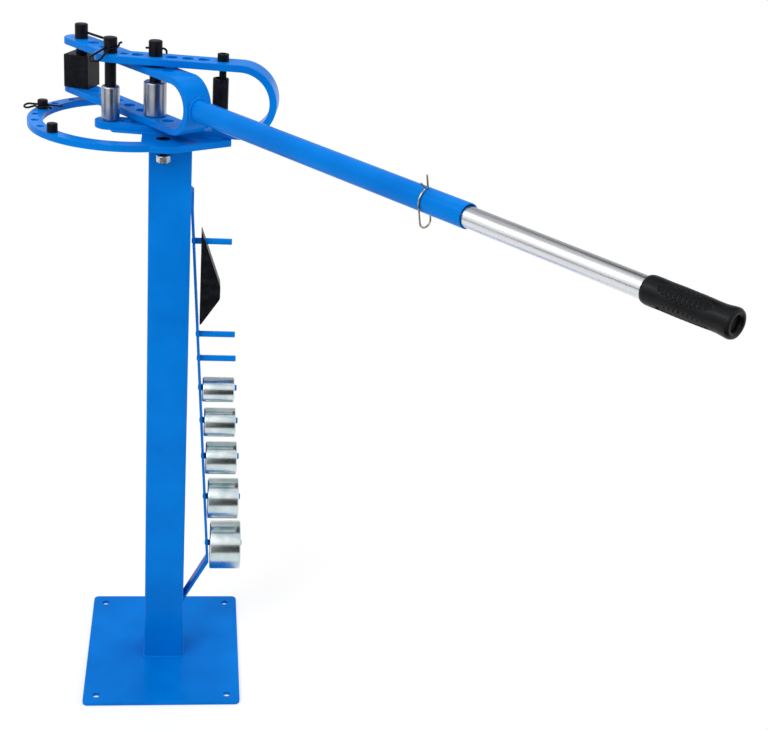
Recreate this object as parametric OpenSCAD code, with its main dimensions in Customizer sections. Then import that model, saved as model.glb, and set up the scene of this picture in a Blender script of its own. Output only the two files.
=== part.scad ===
// Pedestal pipe and bar bender, worked by hand. Millimetres, +Z up, +X towards the die rack,
// +Y away from the operator. The origin is the centre of the floor plate's underside.

/* [Floor plate] */
// Width of the floor plate, left to right
base_w = 240; // [180:5:400]
// Depth of the floor plate, front to back
base_d = 300; // [200:5:450]
// Thickness of the floor plate
base_t = 6; // [4:0.5:12]
// Corner radius of the floor plate
base_corner_r = 8; // [2:1:15]
// Diameter of the four anchor holes
anchor_hole_d = 11; // [8:0.5:14]
// Distance of the anchor holes from the plate's edges
anchor_inset = 20; // [16:1:35]

/* [Post] */
// Outside width of the square post
post_w = 60; // [56:1:70]
// Wall of the square post
post_wall = 3; // [2:0.5:5]
// Length of the post
post_h = 850; // [800:10:1000]

/* [Head plate] */
// Thickness of the head plate and its stop ring
plate_t = 9.5; // [8:0.5:12]
// Distance of the bending pivot to the left of the post's axis
pivot_left = 22.5; // [20:0.5:25]
// Radius of the circle that the stop holes lie on
ring_r = 129.5; // [125:0.5:135]
// Radial width of the stop ring
ring_w = 21; // [18:0.5:26]
// Distance of the ring's centre to the left of the pivot
ring_left = 40; // [36:1:44]
// Distance of the ring's centre behind the pivot
ring_back = 54; // [50:1:58]
// Direction of the ring's free end, seen from its centre
ring_end_angle = 112; // [105:1:120]
// Direction of the first stop hole
stop_first_angle = 131; // [128:1:132]
// Angle from one stop hole to the next
stop_pitch = 15; // [14.5:0.5:15.5]
// Diameter of the stop holes
stop_hole_d = 10.2; // [8:0.1:12]
// Distance from the pivot to the left edge of the solid web
web_left = 17; // [14:1:20]
// Radius of the rounded lobe in front of the post
lobe_r = 43; // [38:1:48]
// Distance of the lobe's bolt to the right of the pivot
lobe_x = 13; // [8:1:18]
// Distance of the lobe's bolt in front of the pivot
lobe_y = 43; // [40:1:46]

/* [Frame] */
// Width of the flat bar that the frame and the yoke are bent from
bar_w = 40; // [34:1:40]
// Thickness of that flat bar
bar_t = 10; // [8:0.5:12]
// Outside height of the frame, over both legs
frame_h = 104; // [100:1:120]
// Turn of the frame about the pivot, from +X
frame_turn = -8; // [-12:1:-4]
// Reach of the frame's bend from the pivot
frame_reach = 170.5; // [160:0.5:190]
// Reach of the frame's open ends from the pivot
frame_tail = 84; // [82:1:90]
// Distance from the pivot to the roller's hole
roller_x = 62; // [61:0.5:64]
// Distance from the pivot to the small hole on the roller's side
small_hole_x = 43; // [41:0.5:44]
// Diameter of that small hole
small_hole_d = 11; // [8:0.5:12]
// Distance from the pivot to the spare pin hole on the roller's side
spare_hole_x = 24.5; // [22:0.5:26]
// Distance between the spare pin holes on the other side
frame_pitch = 22.2; // [20:0.1:24]
// Distance from the pivot to the spacer bolt
spacer_x = 93; // [90:0.5:100]

/* [Yoke and handle] */
// Turn of the handle about the pivot, from +X
yoke_turn = -54.4; // [-58:0.2:-54]
// Reach of the yoke's bend from the pivot
yoke_reach = 105; // [100:1:112]
// Distance between the pin holes of the yoke
yoke_pitch = 31.75; // [30:0.25:33]
// Length of the yoke past its outermost pin
yoke_nose = 29.5; // [24:0.5:32]
// Gap between the top of the yoke and the frame's upper leg
upper_gap = 3; // [2:0.1:5]
// Thickness of the washer under the yoke
low_washer_t = 1; // [0.8:0.1:2]
// Outside diameter of the washers at the pivot
washer_d = 28; // [24:1:32]
// Outside diameter of the handle's outer sleeve
sleeve_d = 30.2; // [30.2:0.1:36]
// Distance from the pivot to the open end of the sleeve
sleeve_end = 616; // [560:2:700]
// Outside diameter of the handle's inner tube
tube_d = 25.4; // [22:0.1:26]
// Wall of the inner tube
tube_wall = 2; // [1.5:0.1:3]
// Wall of the outer sleeve
sleeve_wall = 1.5; // [1.2:0.1:2]
// Droop of the inner tube, which is loose in the sleeve, in degrees
tube_droop = 0.42; // [0:0.02:0.44]
// Length of the inner tube that is hidden in the sleeve
tube_hidden = 200; // [120:5:300]
// Length of the inner tube between the sleeve and the grip
tube_bare = 254; // [150:1:320]
// Length of the grip
grip_l = 110; // [100:1:140]
// Largest diameter of the grip
grip_d = 33.2; // [32:0.2:38]
// Distance of the handle's clip from the end of the sleeve
handle_clip_in = 64; // [40:1:90]

/* [Pins and clips] */
// Diameter of the bending pins
pin_d = 15.9; // [14:0.1:17]
// Diameter of the pins' heads
pin_head_d = 19; // [18.5:0.1:22]
// Height of the pins' heads
pin_head_h = 21.3; // [18:0.1:26]
// Height of the cross hole above the underside of a head
cross_hole_h = 10.5; // [9:0.5:13]
// Wire diameter of the pins' spring clips
clip_wire = 3; // [2.4:0.1:3.2]
// Wire diameter of the handle's spring clip
handle_clip_wire = 2.3; // [2:0.1:3]
// Diameter of the stop pins' heads
stop_pin_d = 15; // [13:0.5:16]
// Height of the stop pins' heads above the ring
stop_pin_h = 12.5; // [12:0.1:14]
// Outside diameter of the loose tube on the spacer bolt
spacer_d = 22; // [18:0.5:24]
// Length of that tube
spacer_h = 70; // [60:1:78]
// Distance by which that tube stands off its bolt's axis
spacer_play = 2.4; // [0:0.1:2.6]
// Thread diameter of the spacer bolt and of the lobe's bolt
bolt_d = 10; // [8:0.5:10]
// Length of the lobe's bolt, from the plate's top to its end
lobe_bolt_l = 35; // [30:1:45]

/* [Dies] */
// Length of every die
die_h = 48; // [40:1:56]
// Diameter of the die on the centre pin
centre_die_d = 31.75; // [25:0.25:34]
// Diameter of the die that serves as the roller
roller_d = 25.4; // [22:0.2:26]
// Diameter of the first die on the rack
die_1_d = 38.1; // [36:0.1:42]
// Diameter of the second die on the rack
die_2_d = 44.45; // [42:0.05:48]
// Diameter of the third die on the rack
die_3_d = 50.8; // [48:0.1:56]
// Diameter of the fourth die on the rack
die_4_d = 63.5; // [60:0.1:68]
// Diameter of the fifth die on the rack
die_5_d = 76.2; // [72:0.1:80]
// Chamfer of the dies' edges
die_chamfer = 1.5; // [0.5:0.1:2.5]
// Side of the square block on the yoke
block_w = 38.5; // [36:0.5:46]
// Height of the square block
block_h = 48; // [40:1:56]
// Turn of the square block on its pin, from the handle's direction
block_turn = 31.4; // [0:0.2:45]

/* [Die rack] */
// Width of the rack's flat strap
strap_w = 25; // [20:1:32]
// Thickness of the strap
strap_t = 4; // [3:0.5:5]
// Distance of the strap's top end below the post's top
strap_drop = 76; // [60:1:100]
// Length of the strap that lies flat on the post
strap_flat = 30; // [20:1:40]
// How far the strap's bend stands off the post
strap_bow = 34.5; // [28:0.5:45]
// Distance of the bend below the lowest peg
bend_drop = 29.5; // [26:0.5:40]
// Distance of the strap's lower end below the bend
foot_drop = 69; // [55:1:80]
// Diameter of the pegs
peg_d = 9; // [7:0.5:10]
// Length of the pegs, from the middle of the strap
peg_l = 55; // [50:1:70]
// Distance of the shoe's peg below the post's top
shoe_peg_drop = 152; // [145:1:165]
// Distance of the roller's empty peg below the post's top
roller_peg_drop = 297.5; // [290:0.5:300]
// Distance of the centre die's empty peg below the post's top
centre_peg_drop = 336.5; // [334:0.5:350]
// Room between neighbouring dies on the rack
die_room = 13.5; // [10:0.5:15]

/* [Forming shoe] */
// Height of the shoe
shoe_h = 148; // [140:1:160]
// Depth of the shoe, from its open back to its nose
shoe_depth = 29; // [26:0.5:36]
// Width of the shoe across its cheeks
shoe_w = 28; // [26:1:48]
// Wall of the shoe
shoe_wall = 5; // [4:0.5:6]
// Radius of the rounded corners of the shoe's nose
shoe_nose_r = 11; // [10:0.5:12]
// Height of the nose's lower corner above the shoe's lower tip
shoe_nose_h = 47; // [44:1:52]
// Distance between the nose's two corners
shoe_nose_flat = 14; // [8:1:20]
// Distance of the peg's hole below the shoe's upper tip
shoe_hole_drop = 19.5; // [18:0.5:24]

/* [Hidden] */
$fn = 96;

// Colours of the paint and of the metals
paint = "#0a78d6";
black = "#202226";
zinc = "#b9bcc4";
steel = "#a9adb5";
rubber = "#17181a";

// Clearances: a running fit, a loose hole, the gap to a seat, and the lift of a die off its arm
run_fit = 0.1;
loose_fit = 0.3;
seat_gap = 0.3;
die_lift = 0.05;
// More than any wall that a hole goes through
through = 400;

// Heights of the stack on the post
post_top = base_t + post_h;
plate_top = post_top + plate_t;
frame_top = plate_top + frame_h;
lower_leg_top = plate_top + bar_t;
upper_leg_low = frame_top - bar_t;
yoke_low = lower_leg_top + low_washer_t;
yoke_h = upper_leg_low - upper_gap - yoke_low;
yoke_top = yoke_low + yoke_h;
yoke_mid = yoke_low + yoke_h / 2;
lower_arm_top = yoke_low + bar_t;
pin_hole_d = pin_d + 2 * run_fit;

// Ring: its edges, the stop holes and the two that hold a stop pin
stop_holes = 7;
rear_stop = 2;
front_stop = 6;
ring_outer_r = ring_r + ring_w / 2;
ring_inner_r = ring_r - ring_w / 2;
right_end_x = 106;
right_end_half = bar_w / 2 + 3;

// Yoke: number of pin holes between the pivot and the outermost pin
yoke_holes = 6;
block_x = -yoke_holes * yoke_pitch;

// Spring clips: the angles over which the curved leg grips before and after its widest place, and
// the bend of its end. Then for each clip the neck behind its eye, the neck's lean, the turn and
// tilt of its cross hole, and its roll about that hole.
clip_bite = 45;
clip_wrap = 45;
clip_flare = 60;
joint_gap = 0.1;
joint_swell = 0.06;
clip_stub = 3;
centre_clip_turn = 0;
roller_clip_neck = 24;
roller_clip_lean = 20;
roller_clip_turn = 54;
roller_clip_tilt = -18;
roller_clip_roll = 188;
block_clip_neck = 16;
block_clip_lean = 16;
block_clip_turn = 152 - yoke_turn;
block_clip_tilt = -9;
block_clip_roll = 195;
stop_clip_reach = 24;
stop_clip_neck = 5;
stop_clip_lean = 45;
stop_clip_turn = -22 - stop_first_angle - rear_stop * stop_pitch;
stop_clip_tilt = -3;
stop_clip_roll = 196;
handle_clip_neck = 22;
handle_clip_turn = 12;

// Bolts: heads, sockets, nut and washer of a ten millimetre thread, in shares of its diameter
cap_head_d = 1.6 * bolt_d;
socket_af = 0.8 * bolt_d;
nut_af = 1.7 * bolt_d;
nut_h = 0.8 * bolt_d;
flat_head_d = 1.9 * bolt_d;
flat_head_h = 0.5 * bolt_d;
bolt_washer_t = 2;

// Handle: the parts along its length, as distances from the pivot
sleeve_bore_d = sleeve_d - 2 * sleeve_wall;
tube_start = sleeve_end - tube_hidden;
grip_start = sleeve_end + tube_bare;
grip_end = grip_start + grip_l;
grip_wall = 3;
handle_clip_x = sleeve_end - handle_clip_in;

// Rack: the strap's corners and the pegs' heights
rack_die_d = [die_1_d, die_2_d, die_3_d, die_4_d, die_5_d];
peg_die_d = concat([centre_die_d], rack_die_d);
first_peg_z = post_top - centre_peg_drop;
peg_z = [for (i = [0:len(peg_die_d) - 1]) first_peg_z - peg_fall(i)];
shoe_peg_z = post_top - shoe_peg_drop;
all_peg_z = concat([shoe_peg_z, post_top - roller_peg_drop], peg_z);
strap_top_z = post_top - strap_drop;
strap_leave_z = strap_top_z - strap_flat;
bend_z = peg_z[len(peg_z) - 1] - bend_drop;
foot_z = bend_z - foot_drop;
strap_x0 = post_w / 2 + strap_t / 2;
spigot_d = peg_d - 2;
peg_shoulder = 1;
die_drop = pin_hole_d / 2 - peg_d / 2 - seat_gap;

// Sum of the steps from the first peg down to peg i
function peg_fall(i) = i == 0 ? 0 : peg_fall(i - 1) + (peg_die_d[i - 1] + peg_die_d[i]) / 2 + die_room;

// Middle of the strap at a height between its leaving the post and its bend
function strap_x(z) = strap_x0 + strap_bow * (strap_leave_z - z) / (strap_leave_z - bend_z);

// Left face of a thing that hangs on the rack and reaches down to height z
function seat_x(z) = strap_x(z) + strap_t / 2 + seat_gap;

// Places: the pivot, the frame's own axes and the yoke's own axes
module at_pivot() {
    translate([-pivot_left, 0, 0]) children();
}

module at_frame() {
    at_pivot() rotate([0, 0, frame_turn]) children();
}

module at_yoke() {
    at_pivot() rotate([0, 0, yoke_turn]) children();
}

module at_stop(i) {
    angle = stop_first_angle + i * stop_pitch;
    at_pivot() translate([-ring_left, ring_back, 0])
        rotate([0, 0, angle]) translate([ring_r, 0, 0]) children();
}

// A flat bar bent into a U that opens towards -X, its lower leg's underside at height 0
module bent_bar(height, reach, tail) {
    bend_r = height / 2;
    bend_x = reach - bend_r;
    end_x = -tail + bar_w / 2;
    intersection() {
        rotate([90, 0, 0]) linear_extrude(bar_w, center = true) difference() {
            union() {
                translate([bend_x, bend_r]) circle(bend_r);
                translate([-tail, 0]) square([tail + bend_x, height]);
            }
            translate([bend_x, bend_r]) circle(bend_r - bar_t);
            translate([-tail - 1, bar_t]) square([tail + 1 + bend_x, height - 2 * bar_t]);
        }
        linear_extrude(height) union() {
            translate([end_x, 0]) circle(bar_w / 2);
            translate([end_x, -bar_w / 2]) square([reach - end_x, bar_w]);
        }
    }
}

// Point where the tangent from tip meets the circle of radius r about c, on the side +1 or -1.
// It is kept a hair inside the circle, so that the two shapes cross.
function tangent_point(tip, c, r, side) =
    let (
        v = c - tip,
        inner = 0.99 * r,
        a = atan2(v[1], v[0]) + 180 + side * acos(inner / norm(v))
    ) c + inner * [cos(a), sin(a)];

module vertical_hole(x, d) {
    translate([x, 0, -through / 2]) cylinder(d = d, h = through);
}

// Round wire that goes straight and then turns, step by step: [straight, turn radius, turn angle].
// It starts at the origin along +X and stays in the XY plane. A positive angle turns left.
// A ball a hair thicker than the wire joins each straight to its bend, so that no two round faces
// meet at a tangent.
module bent_wire(steps, d, i = 0) {
    if (i < len(steps)) {
        straight = steps[i][0];
        turn_r = steps[i][1];
        angle = steps[i][2];
        side = angle < 0 ? -1 : 1;
        start = i == 0 ? 0 : joint_gap;
        turn_gap = angle == 0 ? 0 : joint_gap / turn_r * 180 / PI;
        turn_from = (angle < 0 ? 90 + angle : -90) + turn_gap;
        if (straight > 0)
            translate([start, 0, 0]) rotate([0, 90, 0])
                cylinder(d = d, h = straight - start - (angle == 0 ? 0 : joint_gap));
        if (angle != 0 && (straight > 0 || i == 0))
            translate([straight, 0, 0]) rotate([0, 90, 0]) sphere(d = d + joint_swell);
        if (angle != 0)
            translate([straight, side * turn_r, 0]) rotate([0, 0, turn_from])
                rotate_extrude(angle = abs(angle) - 2 * turn_gap) translate([turn_r, 0]) circle(d = d);
        translate([straight, side * turn_r, 0]) rotate([0, 0, angle]) translate([0, -side * turn_r, 0]) {
            if (angle != 0 && i < len(steps) - 1) rotate([0, 90, 0]) sphere(d = d + joint_swell);
            bent_wire(steps, d, i + 1);
        }
    }
}

// Spring clip round a pin or tube of radius hold_r whose axis is Z. Its straight leg lies along X
// through that axis and ends at leg_out. Its eye is on the -X side, its curved leg on the +Y side.
// The neck between eye and curved leg leans against the straight leg, and the curved leg grips
// from bite degrees before the widest place. Without a bite the neck runs straight into it.
module spring_clip(hold_r, wire, leg_out, neck, lean, bite, tail) {
    wrap_r = hold_r + wire / 2 + seat_gap;
    throat_r = 1.2 * wire;
    throat_x = -(wrap_r + throat_r) * sin(bite) - throat_r * sin(lean);
    throat_y = (wrap_r + throat_r) * cos(bite) - throat_r * cos(lean);
    eye_r = (throat_y + neck * sin(lean)) / (1 + cos(lean));
    eye_x = throat_x - neck * cos(lean) - eye_r * sin(lean);
    grip = bite == 0
        ? [[neck, wrap_r, -clip_wrap]]
        : [[neck, throat_r, lean + bite], [0, wrap_r, -(bite + clip_wrap)]];
    translate([leg_out, 0, 0]) rotate([0, 0, 180]) bent_wire(concat(
        [[leg_out - eye_x, eye_r, -(180 + lean)]],
        grip,
        [[0, throat_r, clip_flare], [tail, 0, 0]]
    ), wire);
}

// Headed pin: its head's underside is at height 0, and its shaft hangs below
module headed_pin(d, length, head_d, head_h) {
    chamfer = 1;
    rotate_extrude() polygon([
        [0, -length],
        [d / 2 - chamfer, -length],
        [d / 2, -length + chamfer],
        [d / 2, 0],
        [head_d / 2, 0],
        [head_d / 2, head_h - chamfer],
        [head_d / 2 - chamfer, head_h],
        [0, head_h]
    ]);
}

// The axes of a cross hole in such a pin's head, +X along the hole
module at_cross_hole(height, turn, tilt) {
    translate([0, 0, height]) rotate([0, 0, turn]) rotate([0, tilt, 0]) children();
}

module cross_hole() {
    rotate([0, 90, 0]) cylinder(d = clip_wire + loose_fit, h = 3 * pin_head_d, center = true);
}

// Clip through such a head, its eye on the -X side of the hole, rolled about the hole's axis. The
// clip's plane cuts the leaning head in an ellipse, whose half length it has to hold.
module pin_clip(head_d, leg_out, neck, lean, tilt, roll, tail) {
    hold_r = head_d / 2 / abs(cos(roll)) / cos(tilt);
    rotate([roll, 0, 0]) spring_clip(hold_r, clip_wire, leg_out, neck, lean, clip_bite, tail);
}

// Die with chamfered edges and a pin's bore, standing on height 0
module die(d) {
    c = die_chamfer;
    rotate_extrude() polygon([
        [pin_hole_d / 2 + c / 2, 0],
        [d / 2 - c, 0],
        [d / 2, c],
        [d / 2, die_h - c],
        [d / 2 - c, die_h],
        [pin_hole_d / 2 + c / 2, die_h],
        [pin_hole_d / 2, die_h - c / 2],
        [pin_hole_d / 2, c / 2]
    ]);
}

// Washer, spacer or tube
module washer(d, hole, t) {
    difference() {
        cylinder(d = d, h = t);
        translate([0, 0, -1]) cylinder(d = hole, h = t + 2);
    }
}

// Pedestal

module at_corners(inset) {
    for (x = [-1, 1], y = [-1, 1])
        translate([x * (base_w / 2 - inset), y * (base_d / 2 - inset)]) children();
}

module base_plate() {
    color(paint) linear_extrude(base_t) difference() {
        union() {
            square([base_w - 2 * base_corner_r, base_d], center = true);
            square([base_w, base_d - 2 * base_corner_r], center = true);
            at_corners(base_corner_r) circle(base_corner_r);
        }
        at_corners(anchor_inset) circle(d = anchor_hole_d);
    }
}

module post_tube() {
    color(paint) translate([0, 0, base_t]) linear_extrude(post_h) difference() {
        square(post_w, center = true);
        square(post_w - 2 * post_wall, center = true);
    }
}

// Die rack on the right of the post

module peg_at(z) {
    translate([strap_x(z) - strap_t / 2 - 1, 0, z]) rotate([0, 90, 0]) children();
}

module rack_strap() {
    half = strap_t / 2;
    color(paint) difference() {
        rotate([90, 0, 0]) linear_extrude(strap_w, center = true) polygon([
            [post_w / 2, strap_top_z],
            [post_w / 2 + strap_t, strap_top_z],
            [post_w / 2 + strap_t, strap_leave_z],
            [strap_x(bend_z) + half, bend_z],
            [post_w / 2, foot_z - half],
            [post_w / 2, foot_z + half * 3],
            [strap_x(bend_z) - half, bend_z + half],
            [post_w / 2, strap_leave_z]
        ]);
        for (z = all_peg_z) peg_at(z)
            translate([0, 0, -1]) cylinder(d = spigot_d + 2 * run_fit, h = strap_t + 4);
    }
}

module rack_pegs() {
    shoulder_at = strap_t + 1 + peg_shoulder;
    color(paint) for (z = all_peg_z) peg_at(z) {
        cylinder(d = spigot_d, h = shoulder_at + 1);
        translate([0, 0, shoulder_at]) cylinder(d = peg_d, h = peg_l + strap_t / 2 + 1 - shoulder_at);
    }
}

module rack_die(i) {
    z = peg_z[i + 1] - die_drop;
    color(zinc) translate([seat_x(z - rack_die_d[i] / 2), 0, z]) rotate([0, 90, 0]) die(rack_die_d[i]);
}

// Points on a circle, from one angle to another
function arc_points(c, r, from, to, steps) =
    [for (i = [0:steps]) let (a = from + (to - from) * i / steps) c + r * [cos(a), sin(a)]];

// Outline of the forming shoe in the XZ plane: upper tip at the origin, nose towards +X, lower tip below.
// The nose has two rounded corners, and the long edges are close to the tangents from the tips to them.
// inset is the distance of a pocket's outline inside this one.
module shoe_outline(inset) {
    tip_cut = 3;
    steps = 12;
    r = shoe_nose_r - inset;
    low_c = [shoe_depth - shoe_nose_r, shoe_nose_h - shoe_h];
    high_c = low_c + [0, shoe_nose_flat];
    intersection() {
        polygon(concat(
            [[0, -inset * 3]],
            arc_points(high_c, r, 18, 0, steps),
            arc_points(low_c, r, 0, -33, steps),
            [[0, -shoe_h + inset * 1.6]]
        ));
        translate([-shoe_depth, tip_cut - shoe_h]) square([3 * shoe_depth, shoe_h - 2 * tip_cut]);
    }
}

module forming_shoe() {
    tip_z = shoe_peg_z + shoe_hole_drop;
    low_z = tip_z - shoe_h;
    back = 4 * shoe_wall;
    color(black) translate([seat_x(low_z) + 1, 0, tip_z]) difference() {
        rotate([90, 0, 0]) linear_extrude(shoe_w, center = true) shoe_outline(0);
        rotate([90, 0, 0]) linear_extrude(shoe_w - 2 * shoe_wall, center = true) union() {
            shoe_outline(shoe_wall);
            translate([-1, back - shoe_h]) square([shoe_wall, shoe_h - 2 * back]);
        }
        translate([0, 0, -shoe_hole_drop]) rotate([0, 90, 0])
            cylinder(d = peg_d + 2 * loose_fit, h = through, center = true);
    }
}

// Head plate with its stop ring

module ring_sector(from, to, r) {
    corners = 8;
    step = (to - from) / corners;
    rim = [for (i = [0:corners]) r * [cos(from + i * step), sin(from + i * step)]];
    polygon(concat([[0, 0]], rim));
}

module plate_outline() {
    centre = [-ring_left, ring_back];
    front_join = 300;
    lobe = [lobe_x, -lobe_y];
    end_y = right_end_x * sin(frame_turn);
    front_corner = [right_end_x, end_y - right_end_half];
    back_y = post_w / 2 + 3;
    difference() {
        intersection() {
            translate(centre) circle(ring_outer_r);
            translate(centre) ring_sector(ring_end_angle, front_join, 2 * ring_outer_r);
        }
        translate(centre) circle(ring_inner_r);
    }
    intersection() {
        union() {
            translate(centre) circle(ring_outer_r);
            translate(lobe) circle(lobe_r);
        }
        translate([-web_left, -ring_outer_r]) square([2 * lobe_r, ring_outer_r + bar_w / 2]);
    }
    polygon([
        [-web_left, -ring_inner_r / 2],
        tangent_point(front_corner, lobe, lobe_r, -1),
        front_corner,
        [right_end_x, end_y + right_end_half],
        [pivot_left + post_w / 2 + 2, back_y],
        [-web_left, back_y]
    ]);
}

module head_plate() {
    color(paint) difference() {
        translate([0, 0, post_top]) linear_extrude(plate_t) at_pivot() plate_outline();
        at_pivot() translate([0, 0, post_top - 1]) cylinder(d = pin_hole_d, h = plate_t + 2);
        for (i = [0:stop_holes - 1]) at_stop(i)
            translate([0, 0, post_top - 1]) cylinder(d = stop_hole_d, h = plate_t + 2);
        at_pivot() translate([lobe_x, -lobe_y, post_top]) {
            translate([0, 0, -1]) cylinder(d = bolt_d + 2 * loose_fit, h = plate_t + 2);
            translate([0, 0, plate_t - flat_head_h - loose_fit])
                cylinder(d = flat_head_d + 2 * loose_fit, h = plate_t);
        }
    }
}

module lobe_bolt() {
    color(black) at_pivot() translate([lobe_x, -lobe_y, plate_top]) union() {
        translate([0, 0, -lobe_bolt_l]) cylinder(d = bolt_d, h = lobe_bolt_l - flat_head_h);
        translate([0, 0, -flat_head_h]) difference() {
            cylinder(d = flat_head_d, h = flat_head_h);
            translate([0, 0, flat_head_h / 2]) cylinder(d = socket_af / cos(30), h = flat_head_h, $fn = 6);
        }
    }
}

module lobe_washer() {
    color(zinc) at_pivot() translate([lobe_x, -lobe_y, plate_top - lobe_bolt_l + nut_h + 2])
        washer(2 * bolt_d, bolt_d + 2 * run_fit, bolt_washer_t);
}

module lobe_nut() {
    color(zinc) at_pivot() translate([lobe_x, -lobe_y, plate_top - lobe_bolt_l + 2]) difference() {
        cylinder(d = nut_af / cos(30), h = nut_h, $fn = 6);
        translate([0, 0, -1]) cylinder(d = bolt_d + 2 * run_fit, h = nut_h + 2);
    }
}

module stop_pin() {
    translate([0, 0, plate_top]) headed_pin(stop_hole_d - 2 * run_fit, plate_t, stop_pin_d, stop_pin_h);
}

module at_stop_clip() {
    at_stop(rear_stop)
        at_cross_hole(plate_top + 0.4 * stop_pin_h, stop_clip_turn, stop_clip_tilt) children();
}

module stop_pin_rear() {
    color(black) difference() {
        at_stop(rear_stop) stop_pin();
        at_stop_clip() cross_hole();
    }
}

module stop_pin_front() {
    color(black) at_stop(front_stop) stop_pin();
}

module stop_pin_clip() {
    leg_out = stop_pin_d / 2 + stop_clip_reach;
    color(black) at_stop_clip() pin_clip(
        stop_pin_d, leg_out, stop_clip_neck, stop_clip_lean,
        stop_clip_tilt, stop_clip_roll, stop_clip_reach / 3);
}

// Frame with its spacer

module frame_bar() {
    color(paint) at_frame() difference() {
        translate([0, 0, plate_top]) bent_bar(frame_h, frame_reach, frame_tail);
        for (x = [-roller_x, -spare_hole_x, 0, frame_pitch, 2 * frame_pitch, 3 * frame_pitch])
            translate([0, 0, plate_top]) vertical_hole(x, pin_hole_d);
        translate([0, 0, plate_top]) vertical_hole(-small_hole_x, small_hole_d);
        translate([0, 0, plate_top]) vertical_hole(spacer_x, bolt_d + 2 * run_fit);
    }
}

module spacer_bolt() {
    end_gap = 1;
    color(black) at_frame() translate([spacer_x, 0, 0]) difference() {
        union() {
            translate([0, 0, plate_top + end_gap]) cylinder(d = bolt_d, h = frame_h - end_gap);
            translate([0, 0, frame_top]) cylinder(d = cap_head_d, h = bolt_d);
        }
        translate([0, 0, frame_top + bolt_d / 2]) cylinder(d = socket_af / cos(30), h = bolt_d, $fn = 6);
    }
}

module spacer_tube() {
    color(black) at_frame() translate([spacer_x - spacer_play, 0, lower_leg_top])
        washer(spacer_d, bolt_d + 2 * spacer_play + 2 * loose_fit, spacer_h);
}

// Yoke with the handle

module yoke_bar() {
    color(paint) at_yoke() difference() {
        translate([0, 0, yoke_low]) bent_bar(yoke_h, yoke_reach, -block_x + yoke_nose);
        for (i = [-yoke_holes:1]) translate([0, 0, yoke_low]) vertical_hole(i * yoke_pitch, pin_hole_d);
    }
}

module upper_washer() {
    color(black) at_pivot() translate([0, 0, yoke_top]) washer(washer_d, pin_hole_d, upper_gap - seat_gap);
}

module lower_washer() {
    color(black) at_pivot() translate([0, 0, lower_leg_top]) washer(washer_d, pin_hole_d, low_washer_t);
}

module along_handle(x) {
    at_yoke() translate([x, 0, yoke_mid]) rotate([0, 90, 0]) children();
}

// The same along the inner tube, which droops about the middle of its hidden length
module along_tube(x) {
    middle = tube_start + tube_hidden / 2;
    at_yoke() translate([middle, 0, yoke_mid]) rotate([0, 90 + tube_droop, 0])
        translate([0, 0, x - middle]) children();
}

module at_handle_clip() {
    along_handle(handle_clip_x) rotate([0, 0, handle_clip_turn]) children();
}

module handle_clip_hole(d) {
    at_handle_clip() rotate([0, 90, 0]) cylinder(d = d, h = 2 * sleeve_d, center = true);
}

module handle_sleeve() {
    bend_r = yoke_h / 2;
    start = yoke_reach - bend_r / 2;
    color(paint) difference() {
        along_handle(start) washer(sleeve_d, sleeve_bore_d, sleeve_end - start);
        at_yoke() translate([yoke_reach - bend_r, 0, yoke_mid]) rotate([90, 0, 0])
            cylinder(r = bend_r, h = 2 * bar_w, center = true);
        handle_clip_hole(handle_clip_wire + loose_fit);
    }
}

module handle_tube() {
    color(steel) difference() {
        along_tube(tube_start) washer(tube_d, tube_d - 2 * tube_wall, grip_end - grip_wall - tube_start);
        handle_clip_hole(handle_clip_wire + 2 * loose_fit);
    }
}

module handle_grip() {
    edge = 1.5;
    belly_r = grip_d / 2 - 0.6;
    waist_r = grip_d / 2 - 1.6;
    flare = 18;
    bore_d = tube_d;
    color(rubber) along_tube(grip_start) rotate_extrude() polygon([
        [bore_d / 2, 0],
        [waist_r, 0],
        [waist_r + 0.5, edge],
        [belly_r, grip_l * 0.2],
        [belly_r, grip_l * 0.6],
        [waist_r, grip_l - flare],
        [grip_d / 2, grip_l - 3 * edge],
        [grip_d / 2, grip_l - edge],
        [grip_d / 2 - edge, grip_l],
        [0, grip_l],
        [0, grip_l - grip_wall],
        [bore_d / 2, grip_l - grip_wall]
    ]);
}

module handle_clip() {
    leg_out = sleeve_d / 2 + 18;
    color(zinc) at_handle_clip() rotate([0, 0, 180])
        spring_clip(sleeve_d / 2, handle_clip_wire, leg_out, handle_clip_neck, 0, 0, 8);
}

// Pins, dies and block

module at_centre_clip() {
    at_pivot() at_cross_hole(frame_top + cross_hole_h, centre_clip_turn, 0) children();
}

module centre_pin() {
    length = frame_top - post_top - 1;
    color(black) difference() {
        at_pivot() translate([0, 0, frame_top]) headed_pin(pin_d, length, pin_head_d, pin_head_h);
        at_centre_clip() cross_hole();
    }
}

module centre_pin_clip() {
    stub = 4.5;
    hook_r = 1.5 * clip_wire;
    length = pin_head_d + stub + 1;
    color(black) at_centre_clip() translate([-pin_head_d / 2 - stub, 0, 0]) rotate([90, 0, 0])
        bent_wire([[length, hook_r, -90], [clip_wire, 0, 0]], clip_wire);
}

module at_roller_clip() {
    at_frame() translate([-roller_x, 0, 0])
        at_cross_hole(frame_top + cross_hole_h, roller_clip_turn, roller_clip_tilt) children();
}

module roller_pin() {
    color(black) difference() {
        at_frame() translate([-roller_x, 0, frame_top])
            headed_pin(pin_d, frame_h, pin_head_d, pin_head_h);
        at_roller_clip() cross_hole();
    }
}

module roller_pin_clip() {
    leg_out = pin_head_d / 2 + clip_stub;
    color(black) at_roller_clip() pin_clip(
        pin_head_d, leg_out, roller_clip_neck, roller_clip_lean,
        roller_clip_tilt, roller_clip_roll, clip_stub);
}

module at_block_clip() {
    at_yoke() translate([block_x, 0, 0])
        at_cross_hole(yoke_top + cross_hole_h, block_clip_turn, block_clip_tilt) children();
}

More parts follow.
